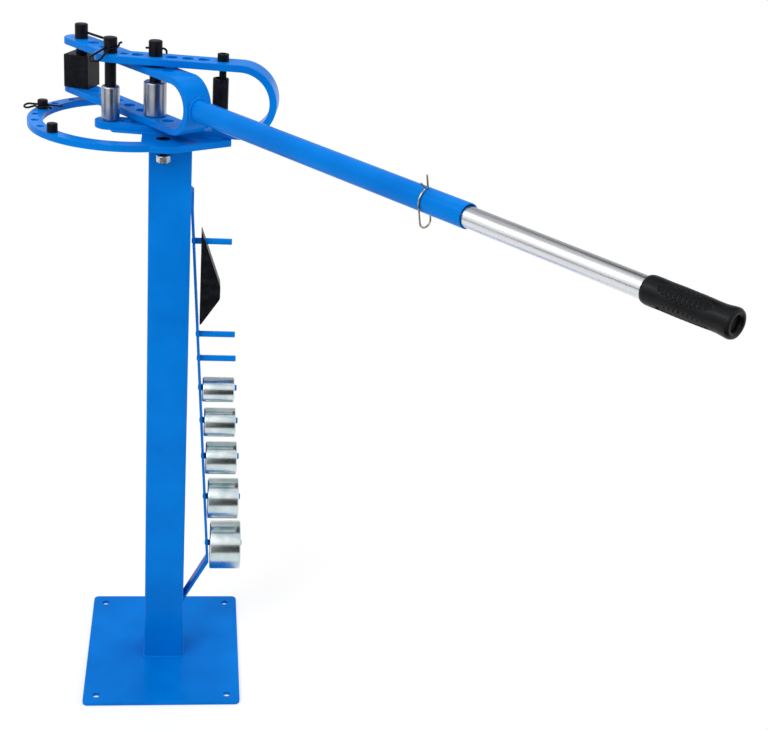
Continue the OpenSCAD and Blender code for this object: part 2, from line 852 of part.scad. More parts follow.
module block_pin() {
    foot = 2;
    color(black) difference() {
        at_yoke() translate([block_x, 0, yoke_top])
            headed_pin(pin_d, yoke_h + foot, pin_head_d, pin_head_h);
        at_block_clip() cross_hole();
    }
}

module block_pin_clip() {
    leg_out = pin_head_d / 2;
    color(black) at_block_clip() pin_clip(
        pin_head_d, leg_out, block_clip_neck, block_clip_lean,
        block_clip_tilt, block_clip_roll, clip_stub);
}

module centre_die() {
    color(steel) at_pivot() translate([0, 0, lower_arm_top + die_lift]) die(centre_die_d);
}

module roller_die() {
    color(steel) at_frame() translate([-roller_x, 0, lower_leg_top + die_lift]) die(roller_d);
}

module square_block() {
    color(black) at_yoke() translate([block_x, 0, lower_arm_top + die_lift]) rotate([0, 0, block_turn])
    difference() {
        translate([-block_w / 2, -block_w / 2, 0]) cube([block_w, block_w, block_h]);
        translate([0, 0, -1]) cylinder(d = pin_hole_d, h = block_h + 2);
    }
}

base_plate();
post_tube();
rack_strap();
rack_pegs();
head_plate();
frame_bar();
spacer_bolt();
spacer_tube();
lobe_bolt();
lobe_washer();
lobe_nut();
yoke_bar();
upper_washer();
lower_washer();
handle_sleeve();
handle_tube();
handle_grip();
handle_clip();
centre_pin();
centre_pin_clip();
roller_pin();
roller_pin_clip();
block_pin();
block_pin_clip();
stop_pin_rear();
stop_pin_clip();
stop_pin_front();
centre_die();
roller_die();
square_block();
rack_die(0);  // rack_die_1
rack_die(1);  // rack_die_2
rack_die(2);  // rack_die_3
rack_die(3);  // rack_die_4
rack_die(4);  // rack_die_5
forming_shoe();
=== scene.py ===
"""Looks of a pedestal pipe and bar bender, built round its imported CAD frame.

Sizes are in millimetres and are turned to metres where a mesh is made. +Z is up, +X points to the
die rack and +Y away from the operator. The origin is the middle of the floor plate's underside.
"""

import logging
import math
from dataclasses import dataclass
from enum import Enum
from typing import Optional, Sequence

import bmesh
import bpy
import numpy as np
from mathutils import Matrix, Vector


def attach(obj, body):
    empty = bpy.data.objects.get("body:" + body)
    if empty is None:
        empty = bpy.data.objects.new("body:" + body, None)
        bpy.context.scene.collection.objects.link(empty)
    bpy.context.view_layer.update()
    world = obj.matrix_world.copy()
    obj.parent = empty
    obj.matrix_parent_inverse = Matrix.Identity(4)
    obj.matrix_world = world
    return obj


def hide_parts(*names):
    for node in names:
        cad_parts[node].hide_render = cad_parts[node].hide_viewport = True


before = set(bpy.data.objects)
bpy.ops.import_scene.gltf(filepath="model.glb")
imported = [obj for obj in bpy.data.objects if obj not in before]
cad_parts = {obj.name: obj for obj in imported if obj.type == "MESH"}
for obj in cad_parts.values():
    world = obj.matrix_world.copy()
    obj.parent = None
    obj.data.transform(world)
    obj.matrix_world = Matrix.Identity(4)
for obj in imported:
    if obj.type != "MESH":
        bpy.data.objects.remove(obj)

MM = 0.001
LOG = logging.getLogger("bender")

Array = np.ndarray
Object = bpy.types.Object
Material = bpy.types.Material
Tree = bpy.types.NodeTree
Socket = bpy.types.NodeSocket
Pair = tuple[float, float]
Point = tuple[float, float, float]
Colour = tuple[float, float, float, float]
Sockets = tuple[tuple[str, float], ...]


# Places and sizes shared by several sub-assemblies, as the CAD has them

PIVOT_X = -22.5
POST_TOP = 856.0
PLATE_TOP = 865.5
LOWER_LEG_TOP = 875.5
LOWER_ARM_TOP = 886.5
YOKE_MID = 916.5
YOKE_TOP = 956.5
FRAME_TOP = 969.5
FRAME_TURN = -8.0
YOKE_TURN = -54.4
ROLLER_X = 62.0
PIN_HOLE_R = 8.05
DIE_H = 48.0
DIE_CHAMFER = 1.5
DIE_LIFT = 0.05
CENTRE_DIE_D = 31.75

# Angles in degrees: what counts as a sharp edge, as an edge to round, and as one flat face
SHARP_DEG = 32.0
BROKEN_DEG = 30.0
FLAT_DEG = 0.6
# Vertices of a CAD node closer than this, in metres, are one
MERGE_M = 2e-6
# A solid turned piece's profile starts this far from its axis, so that no ring is a point
CORE_R = 0.01
# Share of a side that one rounded corner may take
MOST_CUT = 0.4
# Points round a wire and round a weld bead, and degrees of a wire's bend between two rings
WIRE_SIDES = 16
BEAD_SIDES = 12
BEND_STEP = 7


class Axis(Enum):
    """Axis of a turned or drawn piece, as the Wave texture names it."""

    X = "X"
    Y = "Y"
    Z = "Z"


class Body(Enum):
    """The CAD bodies that a piece can ride on."""

    STAND = "stand"
    SPACER = "spacer"
    HANDLE = "handle"
    PIVOT_PIN = "pivot_pin"
    ROLLER_AXLE = "roller_axle"
    NOSE_PIN = "nose_pin"
    REAR_STOP = "rear_stop"
    FRONT_STOP = "front_stop"
    DIE = "die"
    ROLLER = "roller"
    BLOCK = "block"
    SHOE = "shoe"
    SPARE_DIE_1 = "spare_die_1"
    SPARE_DIE_2 = "spare_die_2"
    SPARE_DIE_3 = "spare_die_3"
    SPARE_DIE_4 = "spare_die_4"
    SPARE_DIE_5 = "spare_die_5"


class Slot(Enum):
    """The record's material slots."""

    PAINT = "paint"
    BLACK = "black_steel"
    ZINC = "zinc"
    BARE = "bare_steel"
    TUBE = "bright_tube"
    RUBBER = "grip_rubber"


# Colours and shader nodes


def srgb(code: str) -> Colour:
    """Turn an sRGB hex colour into linear light.

    Args:
        code: The colour as "#rrggbb".

    Returns:
        Linear red, green and blue, and an alpha of one.
    """
    parts = np.array([int(code[i:i + 2], 16) for i in (1, 3, 5)]) / 255
    linear = np.where(parts <= 0.04045, parts / 12.92, ((parts + 0.055) / 1.055) ** 2.4)
    return (float(linear[0]), float(linear[1]), float(linear[2]), 1.0)


def grey(value: float) -> Colour:
    """Give a linear grey, for a ramp that drives roughness."""
    return (value, value, value, 1.0)


WHITE = grey(1.0)
METAL: Sockets = (("Metallic", 1.0),)


def add(
    tree: Tree,
    kind: str,
    settings: Optional[dict] = None,
    links: Optional[dict] = None,
) -> bpy.types.Node:
    """Add one shader node.

    Args:
        tree: The node tree.
        kind: The node's type without its "ShaderNode" in front.
        settings: Values for its properties or, by name or number, for its inputs. Under "stops",
            the place and colour of a Color Ramp's two stops.
        links: Output sockets to join to its inputs, by name or number.

    Returns:
        The new node.
    """
    node = tree.nodes.new("ShaderNode" + kind)
    for key, value in (settings or {}).items():
        if key == "stops":
            for element, (place, colour) in zip(node.color_ramp.elements, value):
                element.position = place
                element.color = colour
        elif isinstance(key, str) and hasattr(node, key):
            setattr(node, key, value)
        else:
            node.inputs[key].default_value = value
    for key, socket in (links or {}).items():
        tree.links.new(socket, node.inputs[key])
    return node


def cleared(owner: Material | bpy.types.World) -> Tree:
    """Turn on a new material's or world's nodes and clear them away.

    Args:
        owner: The material or world.

    Returns:
        Its empty node tree.
    """
    owner.use_nodes = True
    owner.node_tree.nodes.clear()
    return owner.node_tree


# Finishes


@dataclass(frozen=True)
class Coat:
    """A finish that is made, with the slot that pieces in it belong to."""

    material: Material
    slot: Slot


@dataclass(frozen=True)
class Finish:
    """What all finishes share: patterns drive the colour, the gloss and a fine relief.

    Attributes:
        name: The material's name.
        slot: The record's slot that it belongs to.
        dark: Colour where the colour's pattern is low.
        light: Colour where it is high.
        rough: Roughness where the gloss's pattern is low and where it is high.
        noises: Patch size in millimetres, detail and roughness of each noise. The first drives the
            colour and the gloss, and the last drives the relief.
        tint_at: Levels of the colour's pattern that count as low and high.
        gloss_at: Levels of the gloss's pattern that count as low and high.
        relief: Strength of the relief and its depth in metres, or nothing for none.
        sockets: Values of the shader's own sockets.
    """

    name: str
    slot: Slot
    dark: str
    light: str
    rough: Pair
    noises: tuple[Point, ...]
    tint_at: Pair = (0.35, 0.65)
    gloss_at: Pair = (0.3, 0.7)
    relief: Optional[Pair] = None
    sockets: Sockets = ()

    def patterns(self, tree: Tree, place: Socket) -> list[Socket]:
        """Add the noises.

        Args:
            tree: The material's tree.
            place: Object coordinates.

        Returns:
            What drives the colour, the gloss and the relief.
        """
        made = [add(tree, "TexNoise", {"Scale": 1000 / size, "Detail": detail, "Roughness": roughness},
                    {"Vector": place}).outputs["Fac"] for size, detail, roughness in self.noises]
        return [made[0], made[0], made[-1]]

    def coat(self) -> Coat:
        """Make the finish.

        Returns:
            Its material and its slot.
        """
        material = bpy.data.materials.new(self.name)
        tree = cleared(material)
        colour, gloss, height = self.patterns(tree, add(tree, "TexCoord").outputs["Object"])
        tints = zip(self.tint_at, map(srgb, (self.dark, self.light)))
        tint = add(tree, "ValToRGB", {"stops": tints}, {"Fac": colour})
        greys = zip(self.gloss_at, map(grey, self.rough))
        rough = add(tree, "ValToRGB", {"stops": greys}, {"Fac": gloss})
        links = {"Base Color": tint.outputs["Color"], "Roughness": rough.outputs["Color"]}
        if self.relief:
            strength, depth = self.relief
            bump = add(tree, "Bump", {"Strength": strength, "Distance": depth}, {"Height": height})
            links["Normal"] = bump.outputs["Normal"]
        shader = add(tree, "BsdfPrincipled", dict(self.sockets), links)
        add(tree, "OutputMaterial", links={"Surface": shader.outputs["BSDF"]})
        return Coat(material, self.slot)


@dataclass(frozen=True)
class PowderCoat(Finish):
    """Polyester powder coat on steel: a glossy skin with orange peel and a slight cloudiness.

    The colour drifts by a few shades over a hand's width, the gloss drifts with it, and the orange
    peel breaks the edges of reflections. Real peel is one to three millimetres across.
    """

    name: str = "blue_polyester_powder_coat"
    slot: Slot = Slot.PAINT
    dark: str = "#006cc6"
    light: str = "#0076d2"
    rough: Pair = (0.18, 0.26)
    noises: tuple[Point, ...] = ((90.0, 3.0, 0.55), (2.6, 2.0, 0.5))
    relief: Optional[Pair] = (0.06, 0.0004)
    sockets: Sockets = (("IOR", 1.5), ("Specular IOR Level", 0.04))


@dataclass(frozen=True)
class BlackOxide(Finish):
    """Oil-finished black oxide on turned or sawn steel: near black, satin, with rubbed spots.

    Blotches a thumb's width across are a little lighter and duller, as where oil has dried.
    """

    name: str = "oiled_black_oxide_steel"
    slot: Slot = Slot.BLACK
    dark: str = "#0b0c11"
    light: str = "#18191f"
    rough: Pair = (0.32, 0.48)
    noises: tuple[Point, ...] = ((9.0, 5.0, 0.6),)
    tint_at: Pair = (0.42, 0.72)
    relief: Optional[Pair] = (0.08, 0.0003)
    sockets: Sockets = (("Specular IOR Level", 0.1),)


@dataclass(frozen=True)
class TurnedMetal(Finish):
    """A metal part straight from the lathe, with tool marks round its axis.

    The tint drifts from blueish to greenish, as thin chromate on zinc does. The tool marks are a
    tenth of a millimetre apart on the real part. They are drawn about nine times as coarse, because
    finer ones don't show at this size.
    """

    noises: tuple[Point, ...] = ((28.0, 3.0, 0.5),)
    gloss_at: Pair = (0.0, 1.0)
    relief: Optional[Pair] = (0.10, 0.00005)
    sockets: Sockets = METAL
    axis: Axis = Axis.Z
    ring_mm: float = 0.9

    def patterns(self, tree: Tree, place: Socket) -> list[Socket]:
        """Add the drift for the colour, and tool marks for the gloss and the relief.

        Args:
            tree: The material's tree.
            place: Object coordinates.

        Returns:
            What drives the colour, the gloss and the relief.
        """
        # The Wave texture has one band every 0.314 / scale metres
        rings = add(tree, "TexWave",
                    {"wave_type": "BANDS", "bands_direction": self.axis.value,
                     "Scale": 314.16 / self.ring_mm, "Distortion": 1.2, "Detail": 2.0,
                     "Detail Scale": 0.6},
                    {"Vector": place}).outputs["Fac"]
        return [super().patterns(tree, place)[0], rings, rings]


@dataclass(frozen=True)
class DrawnTube(Finish):
    """Cold-drawn bright steel tube, with faint draw lines about half a millimetre apart."""

    name: str = "bright_drawn_steel_tube"
    slot: Slot = Slot.TUBE
    dark: str = "#d6d8db"
    light: str = "#e8e9ec"
    rough: Pair = (0.26, 0.33)
    noises: tuple[Point, ...] = ((1000 / 1900, 3.0, 0.5),)
    tint_at: Pair = (0.3, 0.7)
    relief: Optional[Pair] = (0.05, 0.00005)
    sockets: Sockets = METAL

    def patterns(self, tree: Tree, place: Socket) -> list[Socket]:
        """Add the lines: noise a hundred times as long as wide, along the handle's direction.

        Args:
            tree: The material's tree.
            place: Object coordinates.

        Returns:
            What drives the colour, the gloss and the relief.
        """
        turned = add(tree, "Mapping", {"Rotation": (0.0, 0.0, math.radians(-YOKE_TURN))},
                     {"Vector": place})
        stretched = add(tree, "Mapping", {"Scale": (0.01, 1.0, 1.0)}, {"Vector": turned.outputs["Vector"]})
        return super().patterns(tree, stretched.outputs["Vector"])


@dataclass(frozen=True)
class PlatedWire(Finish):
    """Zinc-plated spring wire or hardware: bright, with a faint straw tint.

    The tint and the gloss drift over a few millimetres, as thin plating does.
    """

    name: str = "zinc_plated_hardware"
    slot: Slot = Slot.ZINC
    dark: str = "#8d836d"
    light: str = "#bdb5a2"
    rough: Pair = (0.24, 0.38)
    noises: tuple[Point, ...] = ((5.0, 4.0, 0.5),)
    sockets: Sockets = METAL


@dataclass(frozen=True)
class MouldedGrip(Finish):
    """Dip-moulded soft PVC: black, satin, with a fine moulded grain.

    The grain is half a millimetre across on the real grip. It is drawn a little coarser, so that it
    shows. Patches that hands have rubbed are lighter and duller.
    """

    name: str = "moulded_black_pvc_grip"
    slot: Slot = Slot.RUBBER
    dark: str = "#08090b"
    light: str = "#0f1013"
    rough: Pair = (0.34, 0.44)
    noises: tuple[Point, ...] = ((22.0, 2.0, 0.5), (0.8, 2.0, 0.5))
    tint_at: Pair = (0.35, 0.7)
    relief: Optional[Pair] = (0.15, 0.0001)
    sockets: Sockets = (("Specular IOR Level", 0.16),)


@dataclass(frozen=True)
class Finishes:
    """All finishes of the bender, each made once."""

    paint: Coat
    oxide: Coat
    rack_zinc: Coat
    die_steel: Coat
    tube: Coat
    hardware: Coat
    nut: Coat
    grip: Coat

    @classmethod
    def made(cls) -> "Finishes":
        """Make every finish.

        Returns:
            The finishes.
        """
        return cls(
            paint=PowderCoat().coat(),
            oxide=BlackOxide().coat(),
            rack_zinc=TurnedMetal("turned_zinc_plated_die", Slot.ZINC, "#bed0d2", "#dfe7e8",
                                  (0.2, 0.27), axis=Axis.X).coat(),
            die_steel=TurnedMetal("turned_bare_steel_die", Slot.BARE, "#989fa9", "#b2b6bd",
                                  (0.26, 0.33)).coat(),
            tube=DrawnTube().coat(),
            hardware=PlatedWire().coat(),
            nut=PlatedWire("bright_zinc_plated_nut", dark="#aeb4bd", light="#dadde2").coat(),
            grip=MouldedGrip().coat(),
        )


@dataclass(frozen=True)
class StudioPaper:
    """Matt white studio paper on the floor."""

    name: str = "white_studio_paper"
    tone: str = "#f7f7f7"
    near_m: float = 0.25
    far_m: float = 0.75
    least: float = 0.55

    def material(self) -> Material:
        """Make the paper: white to the camera and to mirrors, while it keeps soft shadows.

        The share of plain white grows with the distance from the foot of the post, so that the
        shadow stays near the base and the far floor runs into the backdrop.

        Returns:
            The material.
        """
        material = bpy.data.materials.new(self.name)
        tree = cleared(material)
        paper = add(tree, "BsdfDiffuse", {"Color": srgb(self.tone)})
        white = add(tree, "Emission", {"Color": WHITE, "Strength": 1.0})
        path = add(tree, "LightPath")
        seen = add(tree, "Math", {"operation": "MAXIMUM"},
                   {0: path.outputs["Is Camera Ray"], 1: path.outputs["Is Glossy Ray"]})
        reach = add(tree, "VectorMath", {"operation": "LENGTH"},
                    {0: add(tree, "TexCoord").outputs["Object"]})
        share = add(tree, "MapRange", {"From Min": self.near_m, "From Max": self.far_m,
                                       "To Min": self.least, "To Max": 1.0},
                    {"Value": reach.outputs["Value"]})
        share = add(tree, "Math", {"operation": "MULTIPLY"},
                    {0: seen.outputs[0], 1: share.outputs["Result"]})
        mix = add(tree, "MixShader", links={0: share.outputs[0], 1: paper.outputs[0], 2: white.outputs[0]})
        add(tree, "OutputMaterial", links={"Surface": mix.outputs[0]})
        return material


# Places and shapes


@dataclass(frozen=True)
class Axes:
    """A place with its own directions.

    Attributes:
        origin: The place, in millimetres.
        basis: Three by three, whose columns are the local X, Y and Z directions.
    """

    origin: Array
    basis: Array

    def at(self, points: Array) -> Array:
        """Carry local points to the row frame: origin + basis times point."""
        return self.origin + np.asarray(points, float) @ self.basis.T

    def moved(self, x: float, y: float, z: float) -> "Axes":
        """Give the same directions at a local point."""
        return Axes(self.at(np.array([x, y, z])), self.basis)

    def turned(self, axis: Axis, degrees: float) -> "Axes":
        """Give these directions after a right-handed turn about one of the local axes."""
        rotation = np.array(Matrix.Rotation(math.radians(degrees), 3, axis.value))
        return Axes(self.origin, self.basis @ rotation)


ALONG_X, ALONG_Z = np.eye(3)[0], np.eye(3)[2]
WORLD = Axes(np.zeros(3), np.eye(3))
PIVOT = WORLD.moved(PIVOT_X, 0.0, 0.0)
FRAME_AXES = PIVOT.turned(Axis.Z, FRAME_TURN)
YOKE_AXES = PIVOT.turned(Axis.Z, YOKE_TURN)
# Along the handle: local Z runs out along it, and local X points down
HANDLE_AXES = YOKE_AXES.moved(0.0, 0.0, YOKE_MID).turned(Axis.Y, 90.0)


def rounded(profile: Sequence[Pair], radius: float, steps: int = 4) -> Array:
    """Round every corner of a closed profile.

    At a corner P between unit directions a and b towards its neighbours, the points are
    P + d a and P + d b joined by the curve (1-t)^2 A + 2t(1-t) P + t^2 B, a parabola that is
    tangent to both sides. d is the radius, or MOST_CUT of the shorter side where that is less.

    Args:
        profile: The corners.
        radius: Length that is taken from each side.
        steps: Number of spans in each corner.

    Returns:
        The rounded profile's points.
    """
    corner = np.array(profile, float)
    before = np.roll(corner, 1, axis=0) - corner
    after = np.roll(corner, -1, axis=0) - corner
    shorter = np.minimum(np.linalg.norm(before, axis=1), np.linalg.norm(after, axis=1))
    cut = np.minimum(radius, MOST_CUT * shorter)[:, None]
    start = corner + cut * before / np.linalg.norm(before, axis=1, keepdims=True)
    end = corner + cut * after / np.linalg.norm(after, axis=1, keepdims=True)
    t = np.linspace(0, 1, steps + 1)[None, :, None]
    curve = (1 - t) ** 2 * start[:, None] + 2 * t * (1 - t) * corner[:, None] + t ** 2 * end[:, None]
    return curve.reshape(-1, 2)


def skin(name: str, rows: Array, loop: bool = False) -> Object:
    """Make a closed surface from rings of points.

    Point (i, j) of the grid is joined to (i, j+1), (i+1, j+1) and (i+1, j). The rings are closed.
    The first and last rings are joined to each other, or closed by fans about their middles.

    Args:
        name: The piece's name.
        rows: Array of rings by points by three, in millimetres.
        loop: Whether the last ring joins the first.

    Returns:
        The piece.
    """
    count, around = rows.shape[:2]
    points = rows.reshape(-1, 3)
    row = np.arange(count if loop else count - 1)[:, None]
    col = np.arange(around)[None, :]
    after_row = (row + 1) % count
    after_col = (col + 1) % around
    corners = [row * around + col, row * around + after_col,
               after_row * around + after_col, after_row * around + col]
    faces = np.stack([c.reshape(-1) for c in corners], axis=1).tolist()
    if not loop:
        points = np.vstack([points, rows[0].mean(axis=0), rows[-1].mean(axis=0)])
        ring = np.arange(around)
        first = np.stack([np.roll(ring, -1), ring, np.full(around, count * around)], axis=1)
        last = np.stack([ring, np.roll(ring, -1), np.full(around, count * around + 1)], axis=1)
        last[:, :2] += (count - 1) * around
        faces += first.tolist() + last.tolist()
    mesh = bpy.data.meshes.new(name)
    mesh.from_pydata((points * MM).tolist(), [], faces)
    return finished(name, mesh)


def finished(name: str, mesh: bpy.types.Mesh) -> Object:
    """Point a closed mesh's faces outwards, shade it smooth but for sharp edges, and link it.

    Args:
        name: The piece's name.
        mesh: The mesh.

    Returns:
        The piece.
    """
    work = bmesh.new()
    work.from_mesh(mesh)
    bmesh.ops.recalc_face_normals(work, faces=work.faces)
    work.to_mesh(mesh)
    work.free()
    mesh.shade_smooth()
    mesh.set_sharp_from_angle(angle=math.radians(SHARP_DEG))
    piece = bpy.data.objects.new(name, mesh)
    bpy.context.scene.collection.objects.link(piece)
    return piece


def revolved(name: str, profile: Array, axes: Axes, sides: int = 96) -> Object:
    """Turn a closed profile about the local Z axis: (r cos a, r sin a, h).

    Args:
        name: The piece's name.
        profile: Points of radius and height.
        axes: Where the axis stands.
        sides: Number of points round the axis.

    Returns:
        The piece.
    """
    angle = np.linspace(0, 2 * np.pi, sides, endpoint=False)
    radius = profile[:, 0][:, None]
    local = np.stack([radius * np.cos(angle), radius * np.sin(angle),
                      np.broadcast_to(profile[:, 1][:, None], (len(profile), sides))], axis=2)
    return skin(name, axes.at(local), loop=True)


def tube_rows(path: Array, normal: Array, radius: Array, sides: int) -> Array:
    """Carry a circle along a flat path.

    With the path's direction T and the plane's normal N, a ring's point is
    P + r (cos a (N x T) + sin a N).

    Args:
        path: Points of the path.
        normal: Unit normal of its plane.
        radius: Radius at each point of the path, or at each point and side.
        sides: Points in a ring.

    Returns:
        The rings.
    """
    along = np.gradient(path, axis=0)
    along /= np.linalg.norm(along, axis=1, keepdims=True)
    across = np.cross(normal, along)
    angle = np.linspace(0, 2 * np.pi, sides, endpoint=False)
    spoke = np.cos(angle)[None, :, None] * across[:, None] + np.sin(angle)[None, :, None] * normal
    size = radius if radius.ndim == 2 else radius[:, None]
    return path[:, None] + size[:, :, None] * spoke


def bent_path(steps: Sequence[Point]) -> Array:
    """Lay out a bent wire in its plane.

    Each step goes straight for a length and then turns on a radius by an angle, as centre plus
    (start - centre) e^(i a) in the complex plane.

    Args:
        steps: Tuples of straight length, turn radius and turn angle in degrees.

    Returns:
        The points, with a height of zero.
    """
    place, heading = 0j, 1 + 0j
    parts = [np.array([0j])]
    for straight, turn_r, angle in steps:
        if straight > 0:
            parts.append(place + heading * np.linspace(0, straight, max(2, int(straight)))[1:])
            place += heading * straight
        if angle:
            centre = place + heading * 1j * math.copysign(turn_r, angle)
            turn = np.linspace(0, math.radians(angle), max(6, int(abs(angle) / BEND_STEP)))
            parts.append((centre + (place - centre) * np.exp(1j * turn))[1:])
            place = parts[-1][-1]
            heading *= np.exp(1j * math.radians(angle))
    path = np.concatenate(parts)
    return np.stack([path.real, path.imag, np.zeros(len(path))], axis=1)


def wire(name: str, node: str, steps: Sequence[Point], thick: float, axes: Axes) -> Object:
    """Make a round bent wire with domed ends.

    Args:
        name: The piece's name.
        node: The CAD node that it replaces.
        steps: The wire's bends, as bent_path takes them.
        thick: The wire's diameter.
        axes: Where the wire starts, along local X in the XY plane.

    Returns:
        The piece.
    """
    path = bent_path(steps)
    dome = np.radians([80, 60, 35, 0])
    reach = thick / 2 * np.sin(dome)[:, None]
    first, last = path[0] - path[1], path[-1] - path[-2]
    first /= np.linalg.norm(first)
    last /= np.linalg.norm(last)
    # The domes stay inside the wire's own length, as the CAD has it
    head = path[0] + first * (reach - thick / 2)
    foot = path[-1] + last * (reach[::-1] - thick / 2)
    body = path[1:-1]
    size = np.concatenate([np.cos(dome), np.ones(len(body)), np.cos(dome[::-1])]) * thick / 2
    rows = tube_rows(np.vstack([head, body, foot]), ALONG_Z, size, WIRE_SIDES)
    piece = skin(name, axes.at(rows))
    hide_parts(node)
    return piece


def weld(
    name: str,
    path: Array,
    normal: Array,
    size: float,
    pitch: float = 2.6,
    loop: bool = False,
) -> Object:
    """Lay a weld bead along a flat path.

    The bead is a tube whose radius swells once for each ripple:
    r = size (1 + swell cos(2 pi (s / pitch - bow cos a))), where s is the distance along the path
    and a the angle round it, so that each ripple is bowed like a real one. A bead that isn't closed
    thins out towards its ends.

    Args:
        name: The piece's name.
        path: Points of the path, which are laid out again at even steps.
        normal: Unit normal of the path's plane.
        size: The bead's radius.
        pitch: Distance from ripple to ripple.
        loop: Whether the bead runs back into its start.

    Returns:
        The piece.
    """
    swell, bow, rings_each, end_fade, end_least = 0.1, 0.35, 5, 1.5, 0.15
    gap = np.linalg.norm(np.diff(path, axis=0), axis=1)
    run = np.concatenate([[0], np.cumsum(gap)])
    count = max(8, int(run[-1] / pitch * rings_each))
    even = np.linspace(0, run[-1], count, endpoint=not loop)
    line = np.stack([np.interp(even, run, path[:, k]) for k in range(3)], axis=1)
    around = np.linspace(0, 2 * np.pi, BEAD_SIDES, endpoint=False)
    ripple = np.cos(2 * np.pi * (even[:, None] / pitch - bow * np.cos(around)[None, :]))
    radius = size * (1 + swell * ripple)
    if not loop:
        fade = np.clip(np.minimum(even, run[-1] - even) / (end_fade * size), end_least, 1)
        radius = radius * np.sqrt(fade)[:, None]
    return skin(name, tube_rows(line, normal, radius, BEAD_SIDES), loop)


def lifted(outline: Array, z: float) -> Array:
    """Give a flat outline's points at a height."""
    return np.column_stack([outline, np.full(len(outline), z)])


def turned_die(name: str, node: str, diameter: float, axes: Axes) -> Object:
    """Turn a die, with chamfers outside and half as large ones at its bore, slightly rounded.

    Args:
        name: The piece's name.
        node: The CAD node that it replaces.
        diameter: Its diameter.
        axes: The middle of its foot, with local Z along its bore.

    Returns:
        The piece.
    """
    r, h, cut, bore_cut, softness = diameter / 2, DIE_H, DIE_CHAMFER, DIE_CHAMFER / 2, 0.5
    corners = [(PIN_HOLE_R + bore_cut, 0), (r - cut, 0), (r, cut), (r, h - cut), (r - cut, h),
               (PIN_HOLE_R + bore_cut, h), (PIN_HOLE_R, h - bore_cut), (PIN_HOLE_R, bore_cut)]
    piece = revolved(name, rounded(corners, softness, steps=3), axes, sides=128)
    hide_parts(node)
    return piece


def rounded_copy(node: str, edge: float) -> Object:
    """Copy a CAD node and break its sharp edges, as paint, tumbling or a file leaves them.

    The copy's loose triangles are merged, flat areas become single faces, and a Bevel modifier
    rounds its edges.

    Args:
        node: The CAD node.
        edge: Width of the rounding.

    Returns:
        The piece, which replaces the node.
    """
    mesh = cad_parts[node].data.copy()
    mesh.name = node + "_finished"
    work = bmesh.new()
    work.from_mesh(mesh)
    bmesh.ops.remove_doubles(work, verts=work.verts, dist=MERGE_M)
    bmesh.ops.dissolve_limit(work, angle_limit=math.radians(FLAT_DEG), verts=work.verts, edges=work.edges)
    work.to_mesh(mesh)
    work.free()
    piece = finished(node + "_finished", mesh)
    bevel = piece.modifiers.new("broken_edges", "BEVEL")
    bevel.width = edge * MM
    bevel.segments = 2
    bevel.limit_method = "ANGLE"
    bevel.angle_limit = math.radians(BROKEN_DEG)
    bevel.use_clamp_overlap = False
    bevel.harden_normals = True
    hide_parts(node)
    return piece


def dress(piece: Object, coat: Coat, body: Body) -> None:
    """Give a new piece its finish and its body.

    Args:
        piece: The piece.
        coat: Its finish.
        body: The body that it rides on.
    """
    piece.data.materials.clear()
    piece.data.materials.append(coat.material)
    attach(piece, body.value)
    LOG.info("%s: %d faces, rides on %s", piece.name, len(piece.data.polygons), body.value)


def dress_node(node: str, coat: Coat) -> None:
    """Give a CAD node that stays in view its finish.

    Args:
        node: The CAD node.
        coat: Its finish.
    """
    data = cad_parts[node].data
    data.materials.clear()
    data.materials.append(coat.material)
    LOG.info("%s keeps its CAD shape", node)


# Sub-assemblies


@dataclass
class Pedestal:
    """Floor plate and post, with the welds at the post's foot and head."""

    base_t: float = 6.0
    post_w: float = 60.0
    post_corner: float = 4.0
    inner_w: float = 54.0
    inner_corner: float = 1.5

    def ring(self, width: float, corner: float) -> Array:
        """Lay out a square with round corners, from the corners' arcs centre + r (cos a, sin a).

        Args:
            width: Width of the square.
            corner: Radius of its corners.

        Returns:
            Points of the outline, anticlockwise.
        """
        inner = width / 2 - corner
        start = np.array([0, 90, 180, 270])
        centre = inner * np.array([[1, 1], [-1, 1], [-1, -1], [1, -1]])
        angle = np.radians(start[:, None] + np.linspace(0, 90, 9)[None, :])
        arc = np.stack([np.cos(angle), np.sin(angle)], axis=2) * corner
        return (centre[:, None] + arc).reshape(-1, 2)

    def post(self) -> Object:
        """Make the square tube, whose corners are round as on real tube.

        The outer outline is carried up and the inner one down again, and the ends join them.

        Returns:
            The piece, which replaces the CAD's sharp-cornered post.
        """
        outer = self.ring(self.post_w, self.post_corner)
        inner = self.ring(self.inner_w, self.inner_corner)
        heights = np.linspace(self.base_t, POST_TOP, 12)
        rows = [lifted(outer, z) for z in heights] + [lifted(inner, z) for z in heights[::-1]]
        piece = skin("post", np.array(rows), loop=True)
        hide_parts("post_tube")
        return piece

    def bead(self, name: str, z: float, gap: float, size: float, pitch: float) -> Object:
        """Lay a weld bead round the post.

        Args:
            name: The piece's name.
            z: Height of the bead's middle.
            gap: Distance from the post's face to the bead's middle.
            size: The bead's radius.
            pitch: Distance from ripple to ripple.

        Returns:
            The piece.
        """
        path = lifted(self.ring(self.post_w + 2 * gap, self.post_corner), z)
        return weld(name, np.vstack([path, path[:1]]), ALONG_Z, size, pitch, loop=True)

    def build(self, finishes: Finishes) -> None:
        """Build and dress the pedestal.

        Args:
            finishes: The bender's finishes.
        """
        pieces = [rounded_copy("base_plate", 0.9), self.post(),
                  self.bead("post_foot_weld", self.base_t, gap=0.4, size=2.6, pitch=3.2),
                  self.bead("post_head_weld", POST_TOP, gap=0.3, size=2.2, pitch=3.0)]
        for piece in pieces:
            dress(piece, finishes.paint, Body.STAND)


